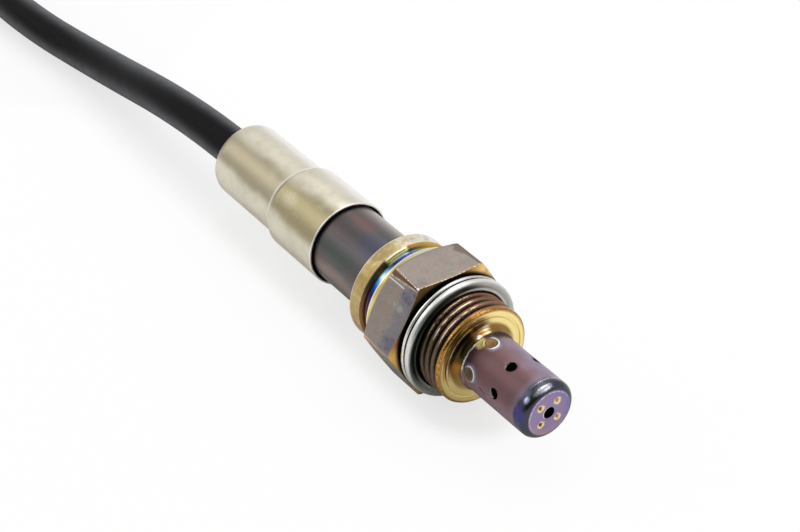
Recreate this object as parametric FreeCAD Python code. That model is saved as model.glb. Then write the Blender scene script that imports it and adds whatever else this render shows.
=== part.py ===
"""A screw-in exhaust oxygen sensor with its cable and plug, lying on its hexagon.

Millimetres, +Z up. The origin is on the sensor's axis, in the front face of the gasket, which seats
on the exhaust boss. +X runs out of the threaded tip, and the cable leaves towards -X.
"""

import FreeCAD, Part

import math
import os

from FreeCAD import Vector

# Fits
FIT = 0.05  # radial clearance of a pressed or sliding piece
FLOOR = -11.0  # the hexagon's lower flat, where the sensor lies

# Thread and gasket
THREAD_DIAMETER = 18.0
THREAD_END = 5.0
NOSE_CHAMFER = 0.35
RELIEF_DIAMETER = 16.4
RELIEF_LENGTH = 2.7
GASKET_THICKNESS = 2.4
GASKET_PLAY = 0.45  # room between the loose gasket and the hexagon
GASKET_CLEARANCE = 0.15
GASKET_WIDTH = 1.8
GASKET_FOLD_DEPTH = 1.4
GASKET_FRONT_ROLL = 0.55
GASKET_REAR_ROLL = 0.35
GASKET_LIP_DEPTH = 0.35
GASKET_LIP_WIDTH = 0.3

# Hexagon, the washer face behind it, groove and rear collar of the shell
HEX_ACROSS_FLATS = 22.0
HEX_LENGTH = 8.75
HEX_CHAMFER_INSET = 0.65
HEX_FRONT_CHAMFER = 0.6
HEX_REAR_CHAMFER = 1.4
HEX_SIDES = 6
WASHER_DIAMETER = 20.8
WASHER_LENGTH = 1.3
WASHER_RADIUS = 0.25
GROOVE_DIAMETER = 18.0
GROOVE_LENGTH = 2.0
GROOVE_FILLET = 0.8
COLLAR_DIAMETER = 19.9
COLLAR_LENGTH = 3.5
COLLAR_FRONT_RADIUS = 0.65
COLLAR_REAR_RADIUS = 0.2

# Front face of the shell and the nose inside the protector
FACE_FILLET = 1.2
NOSE_FILLET = 0.3
FACE_GROOVE_RADIUS = 7.55
FACE_GROOVE_WIDTH = 0.5
FACE_GROOVE_DEPTH = 0.2
NECK_DIAMETER = 10.3
NECK_LENGTH = 1.25
NOSE_LENGTH = 3.4

# Bore of the shell
SEAT_X = 4.2
POWDER_BORE = 10.8
TUBE_SEAT_DEPTH = 5.4

# Outer protector
PROTECTOR_DIAMETER = 10.4
PROTECTOR_WALL = 0.4
PROTECTOR_LENGTH = 16.0
PROTECTOR_CORNER = 1.35
PROTECTOR_RIM_DIAMETER = 10.9
PROTECTOR_RIM_LENGTH = 0.5
SIDE_HOLE_COUNT = 6
SIDE_HOLE_DIAMETER = 2.0
SIDE_HOLE_FROM_TIP = 7.8
SIDE_HOLE_ANGLE = -19.0
END_HOLE_DIAMETER = 2.1
END_DIMPLE_COUNT = 4
END_DIMPLE_DIAMETER = 1.1
END_DIMPLE_DEPTH = 0.18
END_DIMPLE_CIRCLE = 4.7
END_DIMPLE_ANGLE = 42.0
WELD_COUNT = 5
WELD_DIAMETER = 1.8
WELD_DEPTH = 0.12
WELD_FROM_TIP = 14.1
WELD_ANGLE = -9.0

# Inner protector
INNER_DIAMETER = 7.2
INNER_WALL = 0.35
INNER_CORNER = 0.6
INNER_FLANGE_WALL = 0.4
INNER_HOLE_COUNT = 6
INNER_HOLE_DIAMETER = 1.4
INNER_HOLE_FROM_TIP = 10.4
INNER_HOLE_ANGLE = 11.0

# Sensing element and its packing
ELEMENT_WIDTH = 4.0
ELEMENT_THICKNESS = 1.4
ELEMENT_TIP = 17.5
ELEMENT_LENGTH = 55.5
ELEMENT_TIP_CHAMFER = 0.6
FRONT_CERAMIC_LENGTH = 5.2
POWDER_LENGTH = 4.0
REAR_CERAMIC_LENGTH = 7.0
PRESSURE_RING_BORE = 6.4

# Heat-tinted outer tube
TUBE_DIAMETER = 14.6
TUBE_WALL = 0.45
TUBE_LIP_BORE = 9.2
TUBE_STEP_X = -44.0
TUBE_STEP_LENGTH = 2.0
TUBE_STEP_DEPTH = 0.8
TUBE_STEP_FILLET = 1.0
TUBE_END_X = -65.0
VENT_COUNT = 4
VENT_ANGLE = 45.0
VENT_DIAMETER = 2.0
VENT_X = -55.0

# Contacts inside the outer tube
HOLDER_FRONT_X = -25.0
HOLDER_LENGTH = 18.0
HOLDER_CHANNEL_HEIGHT = 3.3
HOLDER_SPLIT = 0.1
CLAMP_X = -33.0
CLAMP_WIDTH = 3.0
CLAMP_THICKNESS = 0.5
CLAMP_GAP = 2.0
SPRING_THICKNESS = 0.25
SPRING_WIDTH = 1.0
SPRING_ROOM = 0.25
SPRING_BEND = 1.5
SPRING_FRONT_X = -27.5
SPRING_TOUCH_X = -31.5
SPRING_RISE_X = -36.0
LEAD_Y = 1.4
LEAD_Z = 2.3
CRIMP_X = -44.2
CRIMP_LENGTH = 5.0
CRIMP_DIAMETER = 2.0
CRIMP_FLOOR = 0.5
CONDUCTOR_DIAMETER = 1.2
LEAD_DIAMETER = 1.9

# Grommet, membrane and protective sleeve
GROMMET_X = -51.0
GROMMET_END_X = -64.5
GROMMET_RIB_COUNT = 3
GROMMET_RIB = 0.25
MEMBRANE_X = -50.0
MEMBRANE_LENGTH = 12.0
MEMBRANE_THICKNESS = 0.3
SLEEVE_MOUTH_X = -33.3
SLEEVE_GAP = 0.45
SLEEVE_SMALL_GAP = 0.06
SLEEVE_WALL = 0.35
SLEEVE_STEP_X = -47.0
SLEEVE_STEP_LENGTH = 1.3
SLEEVE_END_X = -67.8
SLEEVE_SHOULDER = 1.8
SLEEVE_LIP_RADIUS = 0.12
SLEEVE_STEP_FILLET = 0.8

# Cable, tied hank and tail
CABLE_DIAMETER = 7.5
CABLE_REST = FLOOR + CABLE_DIAMETER / 2
CABLE_ROUTE = [
    (GROMMET_END_X, 0.0, 0.0),
    (-86.0, 0.0, 0.0),
    (-125.0, -0.8, -6.3),
    (-151.0, -3.75, CABLE_REST),
]
HANK_NEAR_X = -176.5
HANK_LOOP_RADIUS = 22.5
HANK_SWEEP_RADIUS = 37.0
HANK_WAIST_LENGTH = 12.0
HANK_STRAND = 3.75  # half the distance between the two strands on the floor
HANK_FLAT = 11.0  # width of the flats where the cable enters and leaves
TAIL_LENGTH = 16.0
TIE_WIDTH = 4.8
TIE_THICKNESS = 1.1
TIE_HEAD_WIDTH = 8.0
TIE_HEAD_LENGTH = 6.5
TIE_HEAD_HEIGHT = 4.5

# Plug
BOOT_LENGTH = 18.0
BOOT_TIP_DIAMETER = 10.0
BOOT_ROOT_DIAMETER = 15.0
BOOT_RIB_COUNT = 4
BOOT_FIRST_RIB = 0.7  # share of the rib spacing in front of the first groove
BOOT_TIP_FILLET = 0.8
BOOT_RIB_WIDTH = 1.6
BOOT_RIB_DEPTH = 0.7
PLUG_WIDTH = 20.0
PLUG_HEIGHT = 19.0
PLUG_LENGTH = 24.0
PLUG_CORNER = 3.0
PLUG_COLLAR = 1.2
PLUG_COLLAR_LENGTH = 3.0
CARRIER_WIDTH = 14.0
CARRIER_HEIGHT = 12.0
CARRIER_LENGTH = 15.0
CARRIER_CORNER = 2.0
PIN_PITCH = 5.0
PIN_CAVITY = 2.4
PIN_CAVITY_DEPTH = 12.0
PIN_SIZE = 1.9
PIN_WALL = 0.35
PIN_RECESS = 0.8
LATCH_WIDTH = 7.0
LATCH_THICKNESS = 1.5
LATCH_GAP = 1.4
LATCH_BRIDGE = 4.0
LATCH_TOOTH = 1.4
LOCK_THICKNESS = 1.6
LOCK_WIDTH = 12.0
LOCK_LENGTH = 9.0
LOCK_GRIP_COUNT = 3
LOCK_GRIP_WIDTH = 1.1
LOCK_GRIP_DEPTH = 0.4
SEAL_THICKNESS = 1.3
SEAL_LENGTH = 3.0

# Places worked out from the sizes above
GASKET_BORE = THREAD_DIAMETER + 2 * GASKET_CLEARANCE
GASKET_DIAMETER = GASKET_BORE + 2 * GASKET_WIDTH
GASKET_REAR_X = -GASKET_THICKNESS
HEX_FRONT_X = GASKET_REAR_X - GASKET_PLAY
HEX_REAR_X = HEX_FRONT_X - HEX_LENGTH
WASHER_REAR_X = HEX_REAR_X - WASHER_LENGTH
COLLAR_FRONT_X = WASHER_REAR_X - GROOVE_LENGTH
COLLAR_REAR_X = COLLAR_FRONT_X - COLLAR_LENGTH
TUBE_FRONT_X = COLLAR_REAR_X + TUBE_SEAT_DEPTH
FACE_X = THREAD_END + NOSE_CHAMFER
PROTECTOR_REAR_X = FACE_X + NECK_LENGTH
TIP_X = PROTECTOR_REAR_X + PROTECTOR_LENGTH
NOSE_X = PROTECTOR_REAR_X + NOSE_LENGTH
PROTECTOR_BORE = PROTECTOR_DIAMETER - 2 * PROTECTOR_WALL
NOSE_BORE = INNER_DIAMETER + 2 * FIT
CERAMIC_DIAMETER = POWDER_BORE - 2 * FIT
FRONT_CERAMIC_X = SEAT_X - INNER_FLANGE_WALL
POWDER_X = FRONT_CERAMIC_X - FRONT_CERAMIC_LENGTH
REAR_CERAMIC_X = POWDER_X - POWDER_LENGTH
PRESSURE_RING_X = REAR_CERAMIC_X - REAR_CERAMIC_LENGTH
TUBE_BORE = TUBE_DIAMETER - 2 * TUBE_WALL
TUBE_NECK_DIAMETER = TUBE_DIAMETER - 2 * TUBE_STEP_DEPTH
NECK_BORE = TUBE_NECK_DIAMETER - 2 * TUBE_WALL
HOLDER_DIAMETER = TUBE_BORE - 4 * FIT
HOLDER_REAR_X = HOLDER_FRONT_X - HOLDER_LENGTH
CLAMP_BORE = HOLDER_DIAMETER - 2 * CLAMP_THICKNESS
CRIMP_END_X = CRIMP_X - CRIMP_LENGTH
MEMBRANE_BORE = TUBE_NECK_DIAMETER + 2 * FIT
MEMBRANE_DIAMETER = MEMBRANE_BORE + 2 * MEMBRANE_THICKNESS
SLEEVE_BORE = TUBE_DIAMETER + 2 * SLEEVE_GAP
SLEEVE_DIAMETER = SLEEVE_BORE + 2 * SLEEVE_WALL
SLEEVE_SMALL_BORE = MEMBRANE_DIAMETER + 2 * SLEEVE_SMALL_GAP
SLEEVE_SMALL_DIAMETER = SLEEVE_SMALL_BORE + 2 * SLEEVE_WALL
LOOP_TURN = math.acos(1 - (HANK_LOOP_RADIUS - HANK_STRAND) / (HANK_LOOP_RADIUS + HANK_SWEEP_RADIUS))
LOOP_REACH = (HANK_LOOP_RADIUS + HANK_SWEEP_RADIUS) * math.sin(LOOP_TURN)
LOOP_OUTSIDE = HANK_LOOP_RADIUS + CABLE_DIAMETER / 2
FLAT_TURN = math.asin(HANK_FLAT / 2 / LOOP_OUTSIDE)
HANK_HALF = HANK_WAIST_LENGTH / 2 + LOOP_REACH + LOOP_OUTSIDE * math.cos(FLAT_TURN)
HANK_X = HANK_NEAR_X - HANK_HALF
HANK_FAR_X = HANK_X - HANK_HALF
HANK_HEIGHT = 2 * CABLE_DIAMETER
TAIL_Z = CABLE_REST + CABLE_DIAMETER
BOOT_X = HANK_FAR_X - TAIL_LENGTH
PLUG_X = BOOT_X - BOOT_LENGTH
CARRIER_X = PLUG_X - PLUG_LENGTH
PLUG_Z = FLOOR + PLUG_HEIGHT / 2 + PLUG_COLLAR
AXIS = Vector(1, 0, 0)


def corner_edges(corners):
    """Edges of a closed outline in the XZ plane, from corners (x, z) or (x, z, radius)."""
    edges = []
    ends = []
    count = len(corners)
    for i, corner in enumerate(corners):
        at = Vector(corner[0], 0, corner[1])
        before = Vector(corners[i - 1][0], 0, corners[i - 1][1])
        after = Vector(corners[(i + 1) % count][0], 0, corners[(i + 1) % count][1])
        radius = corner[2] if len(corner) > 2 else 0.0
        back = (before - at).normalize()
        forth = (after - at).normalize()
        half = back.getAngle(forth) / 2
        if radius <= 0 or half > math.pi / 2 - 1e-6:
            ends.append((at, at))
            continue
        reach = radius / math.tan(half)
        middle = (back + forth).normalize() * (radius / math.sin(half) - radius)
        start = at + back * reach
        end = at + forth * reach
        edges.append(Part.Arc(start, at + middle, end).toShape())
        ends.append((start, end))
    for i in range(count):
        leave = ends[i][1]
        arrive = ends[(i + 1) % count][0]
        if leave.distanceToPoint(arrive) > 1e-7:
            edges.append(Part.LineSegment(leave, arrive).toShape())
    return edges


def outline_face(corners):
    """A flat face in the XZ plane inside an outline with rounded corners."""
    return Part.Face(Part.Wire(Part.__sortEdges__(corner_edges(corners))))


def turned(corners):
    """A solid of revolution about the X axis. Corners are (x, radius) or (x, radius, fillet)."""
    return outline_face(corners).revolve(Vector(0, 0, 0), AXIS, 360)


def ring(front_x, rear_x, outer, inner=0.0):
    """A plain ring or disc between two stations, from its outer and inner diameters."""
    return turned([(front_x, inner / 2), (front_x, outer / 2), (rear_x, outer / 2), (rear_x, inner / 2)])


def around(shape, angle):
    """The shape turned about the X axis, by an angle from +Z towards +Y."""
    copy = shape.copy()
    copy.rotate(Vector(0, 0, 0), AXIS, -angle)
    return copy


def pattern(shape, count, first):
    """Copies of the shape, evenly spaced about the X axis."""
    return [around(shape, first + i * 360.0 / count) for i in range(count)]


def block(front_x, rear_x, half_width, low, high):
    """A box between two stations, centred on Y."""
    corner = Vector(rear_x, -half_width, low)
    return Part.makeBox(front_x - rear_x, 2 * half_width, high - low, corner)


def rounded_bar(front_x, rear_x, width, height, corner, z):
    """A bar along X with rounded long edges, centred on Y and on z."""
    bar = block(front_x, rear_x, width / 2, z - height / 2, z + height / 2)
    along = [e for e in bar.Edges if abs(e.tangentAt(e.FirstParameter).x) > 0.99]
    return bar.makeFillet(corner, along)


def metal_shell():
    """The threaded body: thread, front face, nose, hexagon with its washer face, groove and collar."""
    half_side = math.pi / HEX_SIDES
    chamfer_circle = HEX_ACROSS_FLATS / 2 - HEX_CHAMFER_INSET
    corner = HEX_ACROSS_FLATS / 2 / math.cos(half_side)
    hexagon = Part.makePolygon(
        [
            Vector(HEX_REAR_X, corner * math.sin(a), corner * math.cos(a))
            for a in [(2 * k + 1) * half_side for k in range(HEX_SIDES + 1)]
        ]
    )
    prism = Part.Face(hexagon).extrude(Vector(HEX_LENGTH, 0, 0))
    blank = turned(
        [
            (HEX_FRONT_X, 0),
            (HEX_FRONT_X, chamfer_circle),
            (HEX_FRONT_X - HEX_FRONT_CHAMFER, corner),
            (HEX_REAR_X + HEX_REAR_CHAMFER, corner),
            (HEX_REAR_X, chamfer_circle),
            (HEX_REAR_X, 0),
        ]
    )
    thread = THREAD_DIAMETER / 2
    relief = RELIEF_DIAMETER / 2
    washer = WASHER_DIAMETER / 2
    groove = GROOVE_DIAMETER / 2
    collar = COLLAR_DIAMETER / 2
    neck = NECK_DIAMETER / 2
    front_wall = washer - groove
    rear_wall = collar - groove
    inside = PROTECTOR_BORE / 2 - FIT
    body = turned(
        [
            (NOSE_X, 0),
            (NOSE_X, inside, NOSE_FILLET),
            (PROTECTOR_REAR_X, inside),
            (PROTECTOR_REAR_X, neck),
            (FACE_X, neck, FACE_FILLET),
            (FACE_X, thread - NOSE_CHAMFER),
            (THREAD_END, thread),
            (GASKET_REAR_X + RELIEF_LENGTH, thread),
            (GASKET_REAR_X + RELIEF_LENGTH - (thread - relief), relief),
            (HEX_FRONT_X, relief),
            (HEX_FRONT_X, groove),
            (HEX_REAR_X, groove),
            (HEX_REAR_X, washer),
            (WASHER_REAR_X, washer, min(WASHER_RADIUS, 0.3 * front_wall)),
            (WASHER_REAR_X, groove, min(GROOVE_FILLET, 0.6 * front_wall)),
            (COLLAR_FRONT_X, groove, min(GROOVE_FILLET / 3, 0.3 * rear_wall)),
            (COLLAR_FRONT_X, collar, min(COLLAR_FRONT_RADIUS, 0.69 * rear_wall)),
            (COLLAR_REAR_X, collar, COLLAR_REAR_RADIUS),
            (COLLAR_REAR_X, 0),
        ]
    )
    bore = turned(
        [
            (NOSE_X + 1, 0),
            (NOSE_X + 1, NOSE_BORE / 2),
            (SEAT_X, NOSE_BORE / 2),
            (SEAT_X, POWDER_BORE / 2),
            (TUBE_FRONT_X, POWDER_BORE / 2),
            (TUBE_FRONT_X, TUBE_DIAMETER / 2 + FIT),
            (COLLAR_REAR_X - 1, TUBE_DIAMETER / 2 + FIT),
            (COLLAR_REAR_X - 1, 0),
        ]
    )
    face_groove = ring(
        FACE_X + 1,
        FACE_X - FACE_GROOVE_DEPTH,
        2 * FACE_GROOVE_RADIUS + FACE_GROOVE_WIDTH,
        2 * FACE_GROOVE_RADIUS - FACE_GROOVE_WIDTH,
    )
    return prism.common(blank).fuse(body).removeSplitter().cut(bore).cut(face_groove)


def gasket():
    """The folded steel gasket, with two rolls on its outside and a raised lip at its bore."""
    outer = GASKET_DIAMETER / 2
    inner = GASKET_BORE / 2
    front = GASKET_FRONT_ROLL
    rear = GASKET_REAR_ROLL
    fold = -GASKET_FOLD_DEPTH
    lip = inner + GASKET_LIP_WIDTH
    return turned(
        [
            (0, inner),
            (0, outer, front),
            (fold + front / 4, outer, 0.8 * front),
            (fold, outer - rear),
            (fold - rear / 4, outer, rear),
            (GASKET_REAR_X, outer, rear),
            (GASKET_REAR_X, lip),
            (GASKET_REAR_X + GASKET_LIP_DEPTH, inner),
        ]
    )


def outer_protector():
    """The perforated cap over the tip, drawn from sheet, with its weld marks and end dimples."""
    outside = PROTECTOR_DIAMETER / 2
    inside = PROTECTOR_BORE / 2
    rim = PROTECTOR_RIM_DIAMETER / 2
    rim_x = PROTECTOR_REAR_X + PROTECTOR_RIM_LENGTH
    cap = turned(
        [
            (TIP_X, 0),
            (TIP_X, outside, PROTECTOR_CORNER),
            (rim_x + (rim - outside), outside),
            (rim_x, rim),
            (PROTECTOR_REAR_X, rim, PROTECTOR_WALL / 3),
            (PROTECTOR_REAR_X, inside),
            (TIP_X - PROTECTOR_WALL, inside, PROTECTOR_CORNER - PROTECTOR_WALL),
            (TIP_X - PROTECTOR_WALL, 0),
        ]
    )
    hole_place = Vector(TIP_X - SIDE_HOLE_FROM_TIP, 0, 0)
    hole = Part.makeCylinder(SIDE_HOLE_DIAMETER / 2, 2 * outside, hole_place)
    cuts = pattern(hole, SIDE_HOLE_COUNT, SIDE_HOLE_ANGLE)
    cuts.append(ring(TIP_X + 1, TIP_X - 1, END_HOLE_DIAMETER))
    end_mark = dimple(END_DIMPLE_DIAMETER, END_DIMPLE_DEPTH, TIP_X, END_DIMPLE_CIRCLE / 2)
    cuts += pattern(end_mark, END_DIMPLE_COUNT, END_DIMPLE_ANGLE)
    mark = dimple(WELD_DIAMETER, WELD_DEPTH, outside, 0)
    mark.rotate(Vector(0, 0, 0), Vector(0, 1, 0), -90)
    mark.translate(Vector(TIP_X - WELD_FROM_TIP, 0, 0))
    cuts += pattern(mark, WELD_COUNT, WELD_ANGLE)
    return cap.cut(cuts)


def dimple(width, depth, face_x, from_axis):
    """A ball that sinks a round dimple of that width and depth into a face across the X axis."""
    radius = (width * width / 4 + depth * depth) / (2 * depth)
    return Part.makeSphere(radius, Vector(face_x - depth + radius, 0, from_axis))


def inner_protector():
    """The inner cap round the sensing element, with a flange that is clamped in the shell."""
    outside = INNER_DIAMETER / 2
    inside = outside - INNER_WALL
    front = TIP_X - PROTECTOR_WALL
    cap = turned(
        [
            (front, 0),
            (front, outside, INNER_CORNER),
            (SEAT_X, outside),
            (SEAT_X, CERAMIC_DIAMETER / 2),
            (FRONT_CERAMIC_X, CERAMIC_DIAMETER / 2),
            (FRONT_CERAMIC_X, inside),
            (front - INNER_WALL, inside, INNER_CORNER - INNER_WALL),
            (front - INNER_WALL, 0),
        ]
    )
    hole_place = Vector(TIP_X - INNER_HOLE_FROM_TIP, 0, 0)
    hole = Part.makeCylinder(INNER_HOLE_DIAMETER / 2, 2 * outside, hole_place)
    cuts = pattern(hole, INNER_HOLE_COUNT, INNER_HOLE_ANGLE)
    cuts.append(ring(TIP_X + 1, front - 1, END_HOLE_DIAMETER))
    return cap.cut(cuts)


def sensing_element():
    """The flat ceramic bar that measures the gas, with a chamfered tip."""
    half = ELEMENT_WIDTH / 2
    height = ELEMENT_THICKNESS / 2
    rear = ELEMENT_TIP - ELEMENT_LENGTH
    bar = block(ELEMENT_TIP, rear, half, -height, height)
    tip = [e for e in bar.Edges if e.BoundBox.XMin > ELEMENT_TIP - 0.01 and e.BoundBox.ZLength > height]
    return bar.makeChamfer(ELEMENT_TIP_CHAMFER, tip)


def element_slot(front_x, rear_x):
    """The space that the element takes in a piece it passes through."""
    half = ELEMENT_WIDTH / 2 + FIT
    height = ELEMENT_THICKNESS / 2 + FIT
    return block(front_x + 1, rear_x - 1, half, -height, height)


def packed_ring(front_x, length, diameter):
    """A round packing piece with the slot for the element."""
    rear_x = front_x - length
    return ring(front_x, rear_x, diameter).cut(element_slot(front_x, rear_x))


def pressure_ring():
    """The steel ring that the outer tube's lip presses on the rear ceramic."""
    return ring(PRESSURE_RING_X, TUBE_FRONT_X, CERAMIC_DIAMETER, PRESSURE_RING_BORE)


def outer_tube():
    """The heat-tinted tube behind the collar, necked down inside the protective sleeve."""
    outside = TUBE_DIAMETER / 2
    neck = TUBE_NECK_DIAMETER / 2
    step = TUBE_STEP_X - TUBE_STEP_LENGTH
    tube = turned(
        [
            (TUBE_FRONT_X, TUBE_LIP_BORE / 2),
            (TUBE_FRONT_X, outside, TUBE_WALL),
            (TUBE_STEP_X, outside, TUBE_STEP_FILLET),
            (step, neck, TUBE_STEP_FILLET),
            (TUBE_END_X, neck),
            (TUBE_END_X, neck - TUBE_WALL),
            (step, neck - TUBE_WALL, TUBE_STEP_FILLET),
            (TUBE_STEP_X, outside - TUBE_WALL, TUBE_STEP_FILLET),
            (TUBE_FRONT_X - TUBE_WALL, outside - TUBE_WALL),
            (TUBE_FRONT_X - TUBE_WALL, TUBE_LIP_BORE / 2),
        ]
    )
    vent = Part.makeCylinder(VENT_DIAMETER / 2, 2 * neck, Vector(VENT_X, 0, 0))
    return tube.cut(pattern(vent, VENT_COUNT, VENT_ANGLE))


def contact_holder(side):
    """One half of the split ceramic that holds the contact springs; side is 1 above, -1 below."""
    whole = ring(HOLDER_FRONT_X, HOLDER_REAR_X, HOLDER_DIAMETER)
    groove = ring(CLAMP_X + FIT, CLAMP_X - CLAMP_WIDTH - FIT, HOLDER_DIAMETER + 1, CLAMP_BORE - 2 * FIT)
    channels = []
    for y in (-LEAD_Y, LEAD_Y):
        half_width = SPRING_WIDTH / 2 + SPRING_ROOM
        channel = block(HOLDER_FRONT_X + 1, HOLDER_REAR_X - 1, half_width, 0, HOLDER_CHANNEL_HEIGHT)
        channel.translate(Vector(0, y, 0))
        channels.append(channel)
    keep = block(HOLDER_FRONT_X, HOLDER_REAR_X, HOLDER_DIAMETER, HOLDER_SPLIT / 2, HOLDER_DIAMETER)
    slot = element_slot(HOLDER_FRONT_X, HOLDER_REAR_X)
    half = whole.common(keep).cut([groove, slot] + channels)
    return half if side > 0 else around(half, 180.0)


def clamp_spring():
    """The split steel ring that holds the two ceramic halves together."""
    band = ring(CLAMP_X, CLAMP_X - CLAMP_WIDTH, HOLDER_DIAMETER, CLAMP_BORE)
    gap = block(CLAMP_X + 1, CLAMP_X - CLAMP_WIDTH - 1, CLAMP_GAP / 2, 0, HOLDER_DIAMETER)
    return band.cut(gap)


def lead_places():
    """Where the four contacts and leads run: Y, Z, and 1 above or -1 below the element."""
    return [(y, side * LEAD_Z, side) for side in (1, -1) for y in (-LEAD_Y, LEAD_Y)]


def contact_spring(y, side):
    """A bowed strip that presses on the element and ends at its crimp."""
    low = ELEMENT_THICKNESS / 2
    tail = LEAD_Z - SPRING_THICKNESS / 2
    line = [
        (SPRING_FRONT_X, tail, 0),
        (SPRING_TOUCH_X + 1, low, SPRING_BEND),
        (SPRING_TOUCH_X - 1, low, SPRING_BEND),
        (SPRING_RISE_X, tail, SPRING_BEND),
        (CRIMP_X, tail, 0),
    ]
    corners = line + [(x, z + SPRING_THICKNESS, bend) for x, z, bend in reversed(line)]
    strip = outline_face(corners).extrude(Vector(0, SPRING_WIDTH, 0))
    strip.translate(Vector(0, -y - SPRING_WIDTH / 2 if side < 0 else y - SPRING_WIDTH / 2, 0))
    return strip if side > 0 else around(strip, 180.0)


def crimp(y, z):
    """The barrel that joins a contact spring to its lead."""
    barrel = ring(CRIMP_X, CRIMP_END_X, CRIMP_DIAMETER)
    hollow = ring(CRIMP_X - CRIMP_FLOOR, CRIMP_END_X - 1, CONDUCTOR_DIAMETER + 2 * FIT)
    made = barrel.cut(hollow)
    made.translate(Vector(0, y, z))
    return made


def lead_wire(y, z):
    """A lead: bare strands in the crimp, then insulation through the grommet."""
    strands = ring(CRIMP_X - 2 * CRIMP_FLOOR, CRIMP_END_X, CONDUCTOR_DIAMETER)
    cover = ring(CRIMP_END_X, GROMMET_END_X, LEAD_DIAMETER)
    made = strands.fuse(cover).removeSplitter()
    made.translate(Vector(0, y, z))
    return made


def grommet():
    """The rubber seal at the rear of the tube, ribbed outside, with a hole for each lead."""
    outside = NECK_BORE / 2 - FIT
    length = GROMMET_X - GROMMET_END_X
    step = length / (2 * GROMMET_RIB_COUNT + 1)
    corners = [(GROMMET_X, 0), (GROMMET_X, outside)]
    for i in range(GROMMET_RIB_COUNT):
        front = GROMMET_X - (2 * i + 1) * step
        corners += [
            (front, outside),
            (front, outside - GROMMET_RIB),
            (front - step, outside - GROMMET_RIB),
            (front - step, outside),
        ]
    corners += [(GROMMET_END_X, outside), (GROMMET_END_X, 0)]
    body = turned(corners)
    holes = []
    for y, z, _ in lead_places():
        hole = ring(GROMMET_X + 1, GROMMET_END_X - 1, LEAD_DIAMETER + 2 * FIT)
        hole.translate(Vector(0, y, z))
        holes.append(hole)
    return body.cut(holes)


def vent_membrane():
    """The porous sleeve that lets air in through the tube's vents and keeps water out."""
    return ring(MEMBRANE_X, MEMBRANE_X - MEMBRANE_LENGTH, MEMBRANE_DIAMETER, MEMBRANE_BORE)


def protective_sleeve():
    """The stepped sleeve over the rear of the tube, drawn in at the cable."""
    large = SLEEVE_DIAMETER / 2
    small = SLEEVE_SMALL_DIAMETER / 2
    step = SLEEVE_STEP_X - SLEEVE_STEP_LENGTH
    cable = CABLE_DIAMETER / 2 + FIT
    end = SLEEVE_END_X + SLEEVE_WALL
    return turned(
        [
            (SLEEVE_MOUTH_X, SLEEVE_BORE / 2, SLEEVE_LIP_RADIUS),
            (SLEEVE_MOUTH_X, large, SLEEVE_LIP_RADIUS),
            (SLEEVE_STEP_X, large, SLEEVE_STEP_FILLET),
            (step, small, SLEEVE_STEP_FILLET),
            (SLEEVE_END_X, small, SLEEVE_SHOULDER),
            (SLEEVE_END_X, cable),
            (end, cable),
            (end, small - SLEEVE_WALL, SLEEVE_SHOULDER - SLEEVE_WALL),
            (step, small - SLEEVE_WALL, SLEEVE_STEP_FILLET),
            (SLEEVE_STEP_X, SLEEVE_BORE / 2, SLEEVE_STEP_FILLET),
        ]
    )


def bent_path(points, name):
    """Straight runs joined by tangent arcs, each as large as its two runs allow."""
    places = [Vector(*p) for p in points]
    edges = []
    leave = places[0]
    for before, at, after in zip(places, places[1:], places[2:]):
        back = (before - at).normalize()
        forth = (after - at).normalize()
        turn = math.pi - back.getAngle(forth)
        reach = 0.45 * min(before.distanceToPoint(at), at.distanceToPoint(after))
        radius = reach / math.tan(turn / 2)
        middle = (back + forth).normalize() * (radius / math.cos(turn / 2) - radius)
        start = at + back * reach
        end = at + forth * reach
        edges.append(Part.LineSegment(leave, start).toShape())
        edges.append(Part.Arc(start, at + middle, end).toShape())
        leave = end
        print(f"{name}: turn {math.degrees(turn):.1f} degrees, radius {radius:.0f} mm")
    edges.append(Part.LineSegment(leave, places[-1]).toShape())
    return Part.Wire(edges)


def cable_tube(points, name):
    """A round cable along a path of runs and arcs, with its volume compared."""
    path = bent_path(points, name)
    start = Vector(*points[0])
    section = Part.Wire(Part.makeCircle(CABLE_DIAMETER / 2, start, Vector(*points[1]) - start))
    tube = path.makePipeShell([section], True, False)
    expected = math.pi * CABLE_DIAMETER**2 / 4 * path.Length
    print(f"{name}: length {path.Length:.1f} mm, volume {tube.Volume:.1f}, expected {expected:.1f}")
    return tube


def cable_run():
    """The cable from the grommet to the hank, settling from the sleeve onto the floor."""
    end = (HANK_NEAR_X, -HANK_STRAND, CABLE_REST)
    return cable_tube(CABLE_ROUTE + [end], "cable_run")


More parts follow.
